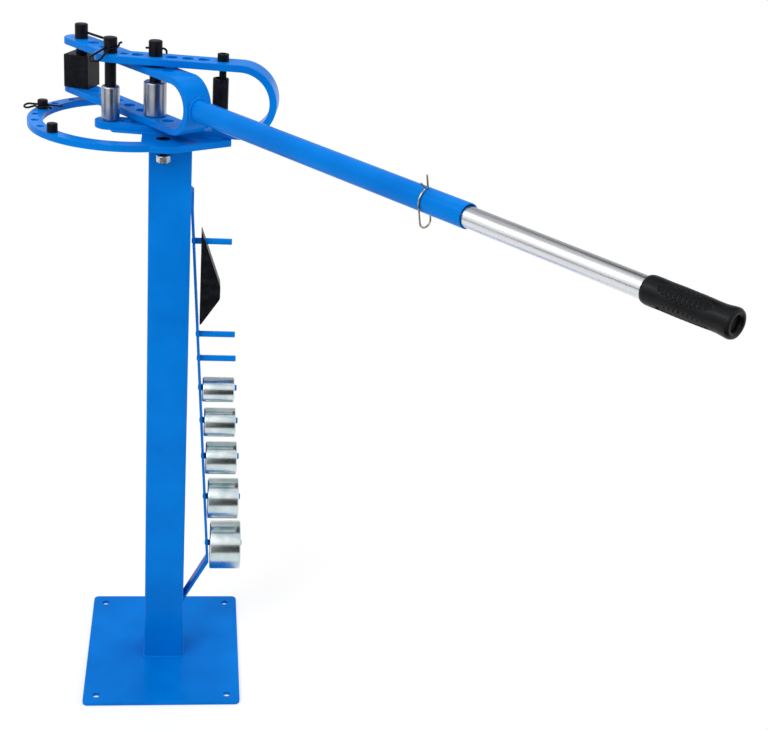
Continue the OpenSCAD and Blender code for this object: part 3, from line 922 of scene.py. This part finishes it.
@dataclass
class Rack:
    """Strap, pegs, spare dies and forming shoe on the right of the post."""

    strap_x0: float = 32.0
    strap_bow: float = 34.5
    strap_t: float = 4.0
    strap_drop: float = 76.0
    strap_flat: float = 30.0
    peg_d: float = 9.0
    peg_l: float = 55.0
    spigot_d: float = 7.0
    spigot_out: float = 1.0
    bend_drop: float = 29.5
    foot_drop: float = 70.5
    die_room: float = 13.5
    seat_gap: float = 0.3
    die_drop: float = 3.25
    centre_peg_drop: float = 336.5
    roller_peg_drop: float = 297.5
    shoe_peg_drop: float = 152.0
    spare_d: tuple[float, ...] = (38.1, 44.45, 50.8, 63.5, 76.2)
    peg_edge: float = 0.5
    bead_out: float = 0.2
    bead_r: float = 4.2
    weld_x: float = 30.4
    weld_half: float = 12.7
    weld_over: float = 0.4
    weld_short: float = 2.0

    @property
    def peg_z(self) -> Array:
        """Heights of the pegs of the centre die and the spares, from the top one down.

        Each peg is half of both neighbours' diameters and some room below the one above.

        Returns:
            The six heights.
        """
        wide = np.array((CENTRE_DIE_D,) + self.spare_d)
        fall = np.concatenate([[0.0], np.cumsum((wide[:-1] + wide[1:]) / 2 + self.die_room)])
        return POST_TOP - self.centre_peg_drop - fall

    @property
    def bend_z(self) -> float:
        """Height of the strap's bend."""
        return float(self.peg_z[-1]) - self.bend_drop

    def strap_x(self, z: float) -> float:
        """Give the middle of the strap at a height: a straight line from where it leaves the post."""
        leave = POST_TOP - self.strap_drop - self.strap_flat
        return self.strap_x0 + self.strap_bow * (leave - z) / (leave - self.bend_z)

    def peg(self, index: int, z: float) -> Object:
        """Make a peg of round bar with a thinner spigot in the strap and a sawn, broken end.

        Args:
            index: Its number.
            z: Its height.

        Returns:
            The piece.
        """
        r, thin = self.peg_d / 2, self.spigot_d / 2
        behind = self.strap_t / 2 + self.spigot_out
        shoulder, end = 2 * behind, self.peg_l + behind
        profile = rounded([(CORE_R, 0), (thin, 0), (thin, shoulder), (r, shoulder), (r, end),
                           (CORE_R, end)], self.peg_edge)
        axes = WORLD.moved(self.strap_x(z) - behind, 0, z).turned(Axis.Y, 90)
        return revolved("rack_peg_%d" % index, profile, axes, sides=48)

    def peg_weld(self, index: int, z: float) -> Object:
        """Lay the small bead round a peg where it leaves the strap.

        Args:
            index: The peg's number.
            z: Its height.

        Returns:
            The piece.
        """
        angle = np.linspace(0, 2 * np.pi, 49)
        face = np.full(len(angle), self.strap_x(z) + self.strap_t / 2 + self.bead_out)
        path = np.stack([face, self.bead_r * np.cos(angle), z + self.bead_r * np.sin(angle)], axis=1)
        return weld("peg_weld_%d" % index, path, ALONG_X, size=0.8, pitch=1.9, loop=True)

    def spare_die(self, number: int) -> Object:
        """Turn a spare die that leans on the strap.

        Args:
            number: Its number, from 1.

        Returns:
            The piece, which replaces its node.
        """
        diameter = self.spare_d[number - 1]
        z = float(self.peg_z[number]) - self.die_drop
        seat = self.strap_x(z - diameter / 2) + self.strap_t / 2 + self.seat_gap
        axes = WORLD.moved(seat, 0, z).turned(Axis.Y, 90)
        return turned_die("spare_die_%d" % number, "rack_die_%d" % number, diameter, axes)

    def strap_welds(self) -> list[Object]:
        """Lay the beads round the strap's flat top end and at its foot on the post.

        Returns:
            The two pieces.
        """
        x, half = self.weld_x, self.weld_half
        top = POST_TOP - self.strap_drop + self.weld_over
        low = POST_TOP - self.strap_drop - self.strap_flat + self.weld_short
        foot = self.bend_z - self.foot_drop
        path = np.array([[x, -half, low], [x, -half, top], [x, half, top], [x, half, low]])
        below = np.array([[x, -half, foot], [x, half, foot]])
        return [weld("strap_top_weld", path, ALONG_X, size=1.7),
                weld("strap_foot_weld", below, ALONG_X, size=2.2)]

    def build(self, finishes: Finishes) -> None:
        """Build and dress the rack.

        Args:
            finishes: The bender's finishes.
        """
        dress(rounded_copy("rack_strap", 0.5), finishes.paint, Body.STAND)
        heights = [POST_TOP - self.shoe_peg_drop, POST_TOP - self.roller_peg_drop] + self.peg_z.tolist()
        pegs = [self.peg(i, z) for i, z in enumerate(heights)]
        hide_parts("rack_pegs")
        beads = [self.peg_weld(i, z) for i, z in enumerate(heights)] + self.strap_welds()
        for piece in pegs + beads:
            dress(piece, finishes.paint, Body.STAND)
        for number in range(1, len(self.spare_d) + 1):
            dress(self.spare_die(number), finishes.rack_zinc, Body("spare_die_%d" % number))
        dress(rounded_copy("forming_shoe", 0.7), finishes.oxide, Body.SHOE)


@dataclass
class Head:
    """Head plate with its stop ring, the frame on it, and their bolts."""

    bar_w: float = 40.0
    weld_out: float = 0.3
    weld_from: float = -58.0
    weld_to: float = 98.0
    spacer_x: float = 93.0
    spacer_play: float = 2.4
    spacer_d: float = 22.0
    spacer_h: float = 70.0
    spacer_bore: float = 15.4
    spacer_edge: float = 0.6

    def frame_weld(self, name: str, side: int) -> Object:
        """Lay the bead along one edge of the frame's lower leg.

        Args:
            name: The piece's name.
            side: -1 for the operator's side, 1 for the far one.

        Returns:
            The piece.
        """
        y = side * (self.bar_w / 2 + self.weld_out)
        ends = np.array([[self.weld_from, y, PLATE_TOP], [self.weld_to, y, PLATE_TOP]])
        return weld(name, FRAME_AXES.at(ends), ALONG_Z, size=2.4, pitch=2.8)

    def spacer(self) -> Object:
        """Make the loose tube on the spacer bolt, with broken edges.

        Returns:
            The piece, which replaces its node.
        """
        r, bore, h = self.spacer_d / 2, self.spacer_bore / 2, self.spacer_h
        profile = rounded([(bore, 0), (r, 0), (r, h), (bore, h)], self.spacer_edge)
        axes = FRAME_AXES.moved(self.spacer_x - self.spacer_play, 0, LOWER_LEG_TOP)
        piece = revolved("spacer_sleeve", profile, axes)
        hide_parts("spacer_tube")
        return piece

    def build(self, finishes: Finishes) -> None:
        """Build and dress the head.

        Args:
            finishes: The bender's finishes.
        """
        pieces = [rounded_copy("head_plate", 0.8), rounded_copy("frame_bar", 1.1),
                  self.frame_weld("frame_weld_front", -1), self.frame_weld("frame_weld_back", 1)]
        for piece in pieces:
            dress(piece, finishes.paint, Body.STAND)
        bolts = {"spacer_bolt": finishes.oxide, "lobe_bolt": finishes.oxide,
                 "lobe_nut": finishes.nut, "lobe_washer": finishes.nut}
        for node, coat in bolts.items():
            dress(rounded_copy(node, 0.4), coat, Body.STAND)
        dress(self.spacer(), finishes.oxide, Body.SPACER)
        dress_node("lower_washer", finishes.oxide)


@dataclass
class SpringClip:
    """A spring clip of round wire through a pin or tube, as the CAD lays it out.

    Attributes:
        node: The CAD node.
        head_r: Radius of what it holds.
        thick: Wire diameter.
        leg_out: How far the straight leg stands out past the axis.
        neck: Straight length behind the eye.
        lean: Angle between the neck and the straight leg, in degrees.
        tail: Straight length at the free end.
        yaw: Turn of the clip about the pin, in degrees.
        tilt: Tilt along its straight leg, in degrees.
        roll: Turn about its straight leg, in degrees.
        bite: Angle over which the curved leg grips before its widest place, in degrees. With none,
            the clip has no throat there.
        wrap: Angle over which it grips past its widest place, in degrees.
        flare: Angle that its free end bends back outwards, in degrees.
        play: Gap between the curved leg and what it holds.
        tightest: Radius of its tightest bends, in wire diameters.
    """

    node: str
    head_r: float
    thick: float
    leg_out: float
    neck: float
    lean: float
    tail: float
    yaw: float
    tilt: float = 0.0
    roll: float = 0.0
    bite: float = 45.0
    wrap: float = 45.0
    flare: float = 60.0
    play: float = 0.3
    tightest: float = 1.2

    def make(self, axes: Axes) -> Object:
        """Make the clip.

        A leaning clip's plane cuts the head in an ellipse, and the curved leg holds its half length.

        Args:
            axes: Axes at the cross hole's middle, with the pin's along Z.

        Returns:
            The piece, which replaces its node.
        """
        lean, bite = math.radians(self.lean), math.radians(self.bite)
        hold_r = self.head_r / abs(math.cos(math.radians(self.roll))) / math.cos(math.radians(self.tilt))
        wrap_r = hold_r + self.thick / 2 + self.play
        throat_r = self.tightest * self.thick
        throat_x = -(wrap_r + throat_r) * math.sin(bite) - throat_r * math.sin(lean)
        throat_y = (wrap_r + throat_r) * math.cos(bite) - throat_r * math.cos(lean)
        eye_r = (throat_y + self.neck * math.sin(lean)) / (1 + math.cos(lean))
        eye_x = throat_x - self.neck * math.cos(lean) - eye_r * math.sin(lean)
        grip = [(self.neck, throat_r, self.lean + self.bite), (0.0, wrap_r, -(self.bite + self.wrap))]
        if self.bite == 0:
            grip = [(self.neck, wrap_r, -self.wrap)]
        steps = [(self.leg_out - eye_x, eye_r, -(180.0 + self.lean))] + grip
        steps += [(0.0, throat_r, self.flare), (self.tail, 0.0, 0.0)]
        hole = axes.turned(Axis.Z, self.yaw).turned(Axis.Y, self.tilt)
        start = hole.turned(Axis.X, self.roll).moved(self.leg_out, 0, 0).turned(Axis.Z, 180)
        return wire(self.node + "_wire", self.node, steps, self.thick, start)


@dataclass
class Pins:
    """Bending pins, stop pins and their spring clips."""

    head_r: float = 9.5
    cross_hole_h: float = 10.5
    clip_wire: float = 3.0
    hook_out: float = 4.5
    hook_bend: float = 1.5
    block_x: float = -190.5
    ring_x: float = -40.0
    ring_y: float = 54.0
    ring_r: float = 129.5
    stop_angle: float = 161.0
    stop_pin_r: float = 7.5
    stop_hole_h: float = 5.0

    def centre_clip(self) -> Object:
        """Make the short hooked wire through the centre pin's head.

        Returns:
            The piece, which replaces its node.
        """
        axes = PIVOT.moved(-self.head_r - self.hook_out, 0, FRAME_TOP + self.cross_hole_h)
        steps = [(2 * self.head_r + self.hook_out + 1, self.hook_bend * self.clip_wire, -90.0),
                 (self.clip_wire, 0.0, 0.0)]
        return wire("centre_pin_clip_wire", "centre_pin_clip", steps, self.clip_wire,
                    axes.turned(Axis.X, 90))

    def spring_clips(self) -> list[tuple[Object, Body]]:
        """Make the clips of the other pins.

        The roller pin's has its eye out over the frame's front edge, the block pin's points along
        the yoke to the pivot, and the rear stop pin's has long legs over the ring.

        Returns:
            The pieces, each with the body that it rides on.
        """
        roller = FRAME_AXES.moved(-ROLLER_X, 0, FRAME_TOP + self.cross_hole_h)
        block = YOKE_AXES.moved(self.block_x, 0, YOKE_TOP + self.cross_hole_h)
        stop = PIVOT.moved(self.ring_x, self.ring_y, 0).turned(Axis.Z, self.stop_angle)
        stop = stop.moved(self.ring_r, 0, 0).moved(0, 0, PLATE_TOP + self.stop_hole_h)
        return [
            (SpringClip("roller_pin_clip", self.head_r, self.clip_wire, leg_out=self.head_r + 3, neck=24,
                        lean=20, tail=3, yaw=54, tilt=-18, roll=188).make(roller), Body.ROLLER_AXLE),
            (SpringClip("block_pin_clip", self.head_r, self.clip_wire, leg_out=self.head_r, neck=16,
                        lean=16, tail=3, yaw=152 - YOKE_TURN, tilt=-9, roll=195).make(block),
             Body.NOSE_PIN),
            (SpringClip("stop_pin_clip", self.stop_pin_r, self.clip_wire, leg_out=self.stop_pin_r + 24,
                        neck=5, lean=45, tail=8, yaw=-22 - self.stop_angle, tilt=-3,
                        roll=196).make(stop), Body.REAR_STOP),
        ]

    def build(self, finishes: Finishes) -> None:
        """Build and dress the pins.

        Args:
            finishes: The bender's finishes.
        """
        homes = {
            "centre_pin": Body.PIVOT_PIN, "roller_pin": Body.ROLLER_AXLE, "block_pin": Body.NOSE_PIN,
            "stop_pin_rear": Body.REAR_STOP, "stop_pin_front": Body.FRONT_STOP,
        }
        for node, body in homes.items():
            dress(rounded_copy(node, 0.45), finishes.oxide, body)
        for piece, body in [(self.centre_clip(), Body.PIVOT_PIN)] + self.spring_clips():
            dress(piece, finishes.oxide, body)


@dataclass
class Tooling:
    """The dies and the block in use."""

    roller_d: float = 25.4

    def build(self, finishes: Finishes) -> None:
        """Build and dress the tooling, whose dies stand on the lower arm and the lower leg.

        Args:
            finishes: The bender's finishes.
        """
        centre_foot = PIVOT.moved(0, 0, LOWER_ARM_TOP + DIE_LIFT)
        roller_foot = FRAME_AXES.moved(-ROLLER_X, 0, LOWER_LEG_TOP + DIE_LIFT)
        centre = turned_die("centre_die_turned", "centre_die", CENTRE_DIE_D, centre_foot)
        roller = turned_die("roller_die_turned", "roller_die", self.roller_d, roller_foot)
        dress(centre, finishes.die_steel, Body.DIE)
        dress(roller, finishes.die_steel, Body.ROLLER)
        dress(rounded_copy("square_block", 0.9), finishes.oxide, Body.BLOCK)


@dataclass
class Grip:
    """The moulded grip with its ribbed panels.

    Attributes:
        length: Its length.
        stations: Places along it where its radius is known.
        radii: Its radii there.
        panel_mid: Place of the panels' middles along it.
        panel_half: Half their length.
        panel_wide: Half their width, as an angle in radians.
        panel_up: Angle of the panel that faces up and towards the operator, in radians.
        panel_rim: Share of a panel over which its ribs rise from nothing.
        pitch: Distance from rib to rib.
        depth: Depth of the grooves between them.
        slant: How far a rib leans along the grip, for each radian.
        bow: How far it is bowed, for each radian squared.
        rows: Number of rings along it.
        sides: Number of points round it.
        mean_half: Rings on either side that the running mean of its radii takes in.
        sharp_end: Length at each end over which that mean fades out.
    """

    length: float = 110.0
    stations: tuple[float, ...] = (0, 1.5, 5, 14, 24, 45, 68, 84, 93, 101, 106.5, 109, 110)
    radii: tuple[float, ...] = (13.2, 15.2, 15.9, 16.0, 15.7, 16.0, 15.7, 15.1, 15.1, 16.1, 16.6, 15.4,
                                13.2)
    panel_mid: float = 53.0
    panel_half: float = 34.0
    panel_wide: float = 0.56
    panel_up: float = 0.75
    panel_rim: float = 0.12
    pitch: float = 5.8
    depth: float = 1.9
    slant: float = 3.0
    bow: float = 9.0
    rows: int = 300
    sides: int = 200
    mean_half: int = 6
    sharp_end: float = 6.0

    def make(self, axes: Axes, start: float) -> Object:
        """Make the grip.

        The radius is a smooth curve through the grip's sizes along its length, less the ribs:
        depth (0.5 + 0.5 cos(2 pi (s + slant a - bow a^2) / pitch))^0.7 inside four lens-shaped
        panels.

        Args:
            axes: Axes whose Z runs along the handle.
            start: Where the grip begins along it.

        Returns:
            The piece, which replaces the CAD's plain grip.
        """
        s = np.linspace(0, self.length, self.rows)
        angle = np.linspace(0, 2 * np.pi, self.sides, endpoint=False)
        radius = np.interp(s, self.stations, self.radii)
        # A running mean smooths the curve, and fades out over the last millimetres at each end
        window = 2 * self.mean_half + 1
        padded = np.pad(radius, self.mean_half, mode="edge")
        smooth = np.convolve(padded, np.ones(window) / window, mode="valid")
        blend = np.clip(np.minimum(s, self.length - s) / self.sharp_end, 0, 1)
        radius = radius * (1 - blend) + smooth * blend
        turn = (angle[None, :] - self.panel_up + np.pi / 4) % (np.pi / 2) - np.pi / 4
        place = (s[:, None] - self.panel_mid) / self.panel_half
        lens = 1 - place ** 2 - (turn / self.panel_wide) ** 2
        mask = np.clip(lens / self.panel_rim, 0, 1)
        phase = (s[:, None] + self.slant * turn - self.bow * turn ** 2) / self.pitch
        ribs = 0.5 + 0.5 * np.cos(2 * np.pi * phase)
        size = radius[:, None] - self.depth * mask * ribs ** 0.7
        # The open end is dished, in shares of its radius and millimetres inwards
        dish = np.array([[0.86, 0.0], [0.74, -0.8], [0.66, -2.5], [0.62, -5.5], [0.3, -6.2]])
        size = np.vstack([size, np.outer(radius[-1] * dish[:, 0], np.ones(len(angle)))])
        along = start + np.concatenate([s, self.length + dish[:, 1]])
        rows = np.stack([size * np.cos(angle), size * np.sin(angle),
                         np.broadcast_to(along[:, None], size.shape)], axis=2)
        piece = skin("moulded_grip", axes.at(rows))
        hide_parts("handle_grip")
        return piece


@dataclass
class Handle:
    """Yoke, sleeve, inner tube, grip and the clip between them."""

    reach: float = 105.0
    yoke_h: float = 80.0
    sleeve_r: float = 15.1
    seam_out: float = 0.6
    sleeve_end: float = 616.0
    tube_r: float = 12.7
    tube_bore: float = 10.7
    tube_hidden: float = 200.0
    tube_bare: float = 254.0
    tube_in_grip: float = 107.0
    droop: float = 0.42
    clip_x: float = 552.0
    clip_wire: float = 2.3

    @property
    def tube_axes(self) -> Axes:
        """Axes of the drooping inner tube: local Z along it, zero at the pivot's distance.

        Returns:
            The axes.
        """
        middle = self.sleeve_end - self.tube_hidden / 2
        place = YOKE_AXES.moved(middle, 0, YOKE_MID).turned(Axis.Y, 90 + self.droop)
        return place.moved(0, 0, -middle)

    def sleeve_weld(self) -> Object:
        """Lay the bead where the sleeve meets the yoke's bend.

        The seam is where a cylinder of radius r along X meets one of radius R across it:
        (c + sqrt(R^2 - (r sin a)^2), r cos a, r sin a). It is nearly flat, so it is carried as a
        path in the plane across the handle.

        Returns:
            The piece.
        """
        bend = self.yoke_h / 2
        angle = np.linspace(0, 2 * np.pi, 97)
        r = self.sleeve_r + self.seam_out
        high = r * np.sin(angle)
        out = self.reach - bend + np.sqrt(bend ** 2 - high ** 2)
        path = YOKE_AXES.moved(0, 0, YOKE_MID).at(np.stack([out, r * np.cos(angle), high], axis=1))
        return weld("sleeve_weld", path, YOKE_AXES.basis[:, 0], size=2.3, pitch=3.0, loop=True)

    def tube(self) -> Object:
        """Make the bright inner tube, whose outline goes out along its face and back in its bore.

        Returns:
            The piece, which replaces its node.
        """
        rings = 24
        heights = np.linspace(self.sleeve_end - self.tube_hidden,
                              self.sleeve_end + self.tube_bare + self.tube_in_grip, rings)
        outer = np.stack([np.full(rings, self.tube_r), heights], axis=1)
        inner = np.stack([np.full(rings, self.tube_bore), heights[::-1]], axis=1)
        piece = revolved("bright_tube", np.vstack([outer, inner]), self.tube_axes)
        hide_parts("handle_tube")
        return piece

    def clip(self) -> Object:
        """Make the clip through sleeve and tube, which grips and curls further than the CAD's."""
        hole = HANDLE_AXES.moved(0, 0, self.clip_x)
        return SpringClip("handle_clip", self.sleeve_r, self.clip_wire, leg_out=self.sleeve_r + 18,
                          neck=22, lean=0, bite=0, tail=9, yaw=192, wrap=68, flare=108).make(hole)

    def build(self, finishes: Finishes) -> None:
        """Build and dress the handle.

        Args:
            finishes: The bender's finishes.
        """
        for piece in (rounded_copy("yoke_bar", 1.1), rounded_copy("handle_sleeve", 0.4), self.sleeve_weld()):
            dress(piece, finishes.paint, Body.HANDLE)
        dress(self.tube(), finishes.tube, Body.HANDLE)
        grip = Grip().make(self.tube_axes, self.sleeve_end + self.tube_bare)
        dress(grip, finishes.grip, Body.HANDLE)
        dress(self.clip(), finishes.hardware, Body.HANDLE)
        dress_node("upper_washer", finishes.oxide)


# The studio


@dataclass(frozen=True)
class SoftBox:
    """A soft box, in metres and watts.

    Attributes:
        name: Its name.
        place: Where it hangs.
        aim: The point that it faces.
        width: Its width.
        height: Its height.
        power: Its power.
        mirrored: Whether bright metal shows it.
    """

    name: str
    place: Point
    aim: Point
    width: float
    height: float
    power: float
    mirrored: bool = True

    def hang(self) -> None:
        """Hang the soft box."""
        data = bpy.data.lights.new(self.name, "AREA")
        data.shape = "RECTANGLE"
        data.size = self.width
        data.size_y = self.height
        data.energy = self.power
        lamp = bpy.data.objects.new(self.name, data)
        lamp.visible_glossy = self.mirrored
        lamp.location = self.place
        lamp.rotation_euler = (Vector(self.aim) - Vector(self.place)).to_track_quat("-Z", "Y").to_euler()
        bpy.context.scene.collection.objects.link(lamp)


@dataclass(frozen=True)
class Sheet:
    """A flat sheet of paper or card in the studio, in metres.

    Attributes:
        name: Its name.
        corner: One of its corners.
        edge: The edge from there to the next corner.
        other: The edge from there to the last corner.
    """

    name: str
    corner: Point
    edge: Point
    other: Point

    def lay(self, material: Material) -> Object:
        """Args:
            material: Its material.

        Returns:
            The sheet.
        """
        corner, edge, other = (np.array(v, float) for v in (self.corner, self.edge, self.other))
        points = np.stack([corner, corner + edge, corner + edge + other, corner + other])
        mesh = bpy.data.meshes.new(self.name)
        mesh.from_pydata(points.tolist(), [], [(0, 1, 2, 3)])
        mesh.materials.append(material)
        sheet = bpy.data.objects.new(self.name, mesh)
        bpy.context.scene.collection.objects.link(sheet)
        return sheet

    def mirror_card(self, tone: str) -> None:
        """Lay the sheet as an evenly lit card, which darkens part of what metal mirrors.

        Only reflections see it. It takes no light away and isn't in any picture.

        Args:
            tone: Its colour.
        """
        material = bpy.data.materials.new("matt_" + self.name)
        tree = cleared(material)
        card = add(tree, "Emission", {"Color": srgb(tone), "Strength": 1.0})
        add(tree, "OutputMaterial", links={"Surface": card.outputs[0]})
        sheet = self.lay(material)
        sheet.visible_camera = False
        sheet.visible_diffuse = False
        sheet.visible_shadow = False
        sheet.visible_transmission = False


@dataclass
class Studio:
    """Camera, floor, cards and lamps."""

    place: Point = (29.8, -2071.7, 1424.1)
    yaw: float = -8.13
    pitch: float = 23.51
    roll: float = 4.42
    lens: float = 70.31
    dark: str = "#1c1e22"
    middle: str = "#babbbe"

    def camera(self) -> None:
        """Set the camera at the photograph's angle."""
        yaw, pitch, roll = (math.radians(v) for v in (self.yaw, self.pitch, self.roll))
        forward = np.array([-math.sin(yaw) * math.cos(pitch), math.cos(yaw) * math.cos(pitch),
                            -math.sin(pitch)])
        level = np.array([math.cos(yaw), math.sin(yaw), 0.0])
        upward = np.cross(level, forward)
        matrix = np.eye(4)
        matrix[:3, 0] = math.cos(roll) * level + math.sin(roll) * upward
        matrix[:3, 1] = -math.sin(roll) * level + math.cos(roll) * upward
        matrix[:3, 2] = -forward
        matrix[:3, 3] = np.array(self.place) * MM
        data = bpy.data.cameras.new("camera")
        data.lens = self.lens
        data.sensor_width = 36.0
        data.sensor_fit = "HORIZONTAL"
        camera = bpy.data.objects.new("camera", data)
        camera.matrix_world = Matrix(matrix.tolist())
        bpy.context.scene.collection.objects.link(camera)
        bpy.context.scene.camera = camera

    def sky(self) -> None:
        """Light everything evenly from all sides, and show white to the camera and to mirrors."""
        world = bpy.data.worlds.new("studio")
        bpy.context.scene.world = world
        tree = cleared(world)
        path = add(tree, "LightPath")
        mirrored = add(tree, "Math", {"operation": "MAXIMUM"},
                       {0: path.outputs["Is Glossy Ray"], 1: path.outputs["Is Transmission Ray"]})
        seen = add(tree, "Math", {"operation": "MAXIMUM"},
                   {0: path.outputs["Is Camera Ray"], 1: mirrored.outputs[0]})
        fill = add(tree, "Background", {"Color": WHITE, "Strength": 0.5})
        white = add(tree, "Background", {"Color": WHITE, "Strength": 1.0})
        mix = add(tree, "MixShader", links={0: seen.outputs[0], 1: fill.outputs[0], 2: white.outputs[0]})
        add(tree, "OutputWorld", links={"Surface": mix.outputs[0]})

    def build(self) -> None:
        """Set up the studio."""
        self.camera()
        # The floor is so wide that the camera sees it to the picture's top edge
        Sheet("floor", (-40, -40, 0), (80, 0, 0), (0, 80, 0)).lay(StudioPaper().material())
        self.sky()
        # Dark floor and wall on the operator's side, for the metal to mirror
        Sheet("low_card", (-0.3, -1.0, 0.004), (0, -1.5, 0), (2.1, 0, 0)).mirror_card(self.dark)
        Sheet("upright_card", (-0.3, -2.5, 0), (2.1, 0, 0), (0, 0, 1.5)).mirror_card(self.dark)
        # The tube's lower dark line
        Sheet("left_card", (-2.0, -1.3, 0.25), (0, 1.1, 0), (0, 0, 0.5)).mirror_card(self.dark)
        # The dark line near the top of the spare dies, and the grey above it
        Sheet("high_card", (0.2, -0.3, 2.6), (1.8, 0, 0), (0, 1.8, 0)).mirror_card(self.dark)
        Sheet("rear_card", (-1.2, 0.1, 2.62), (3.8, 0, 0), (0, 3.7, 0)).mirror_card(self.middle)
        Sheet("back_card", (-0.4, 3.8, 0.9), (3.0, 0, 0), (0, 0, 1.7)).mirror_card(self.middle)
        SoftBox("key_box", (-1.6, -2.2, 2.8), (0.0, 0.0, 0.6), 1.8, 1.8, 50.0).hang()
        SoftBox("left_box", (-1.7, -0.3, 2.3), (0.3, -0.3, 0.8), 0.45, 0.45, 9.0).hang()
        SoftBox("right_box", (2.4, -1.2, 1.8), (0.0, 0.0, 0.5), 1.4, 1.8, 24.0, mirrored=False).hang()
        SoftBox("top_box", (0.3, 0.8, 2.7), (0.0, 0.0, 0.6), 2.0, 1.4, 28.0, mirrored=False).hang()
        bpy.context.scene.view_settings.view_transform = "Standard"


def main() -> None:
    """Build the whole bender and its studio."""
    logging.basicConfig(level=logging.INFO, format="%(message)s")
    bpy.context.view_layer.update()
    Studio().build()
    finishes = Finishes.made()
    for part in (Pedestal(), Rack(), Head(), Pins(), Tooling(), Handle()):
        LOG.info("Building the %s", type(part).__name__.lower())
        part.build(finishes)


if __name__ == "__main__":
    main()
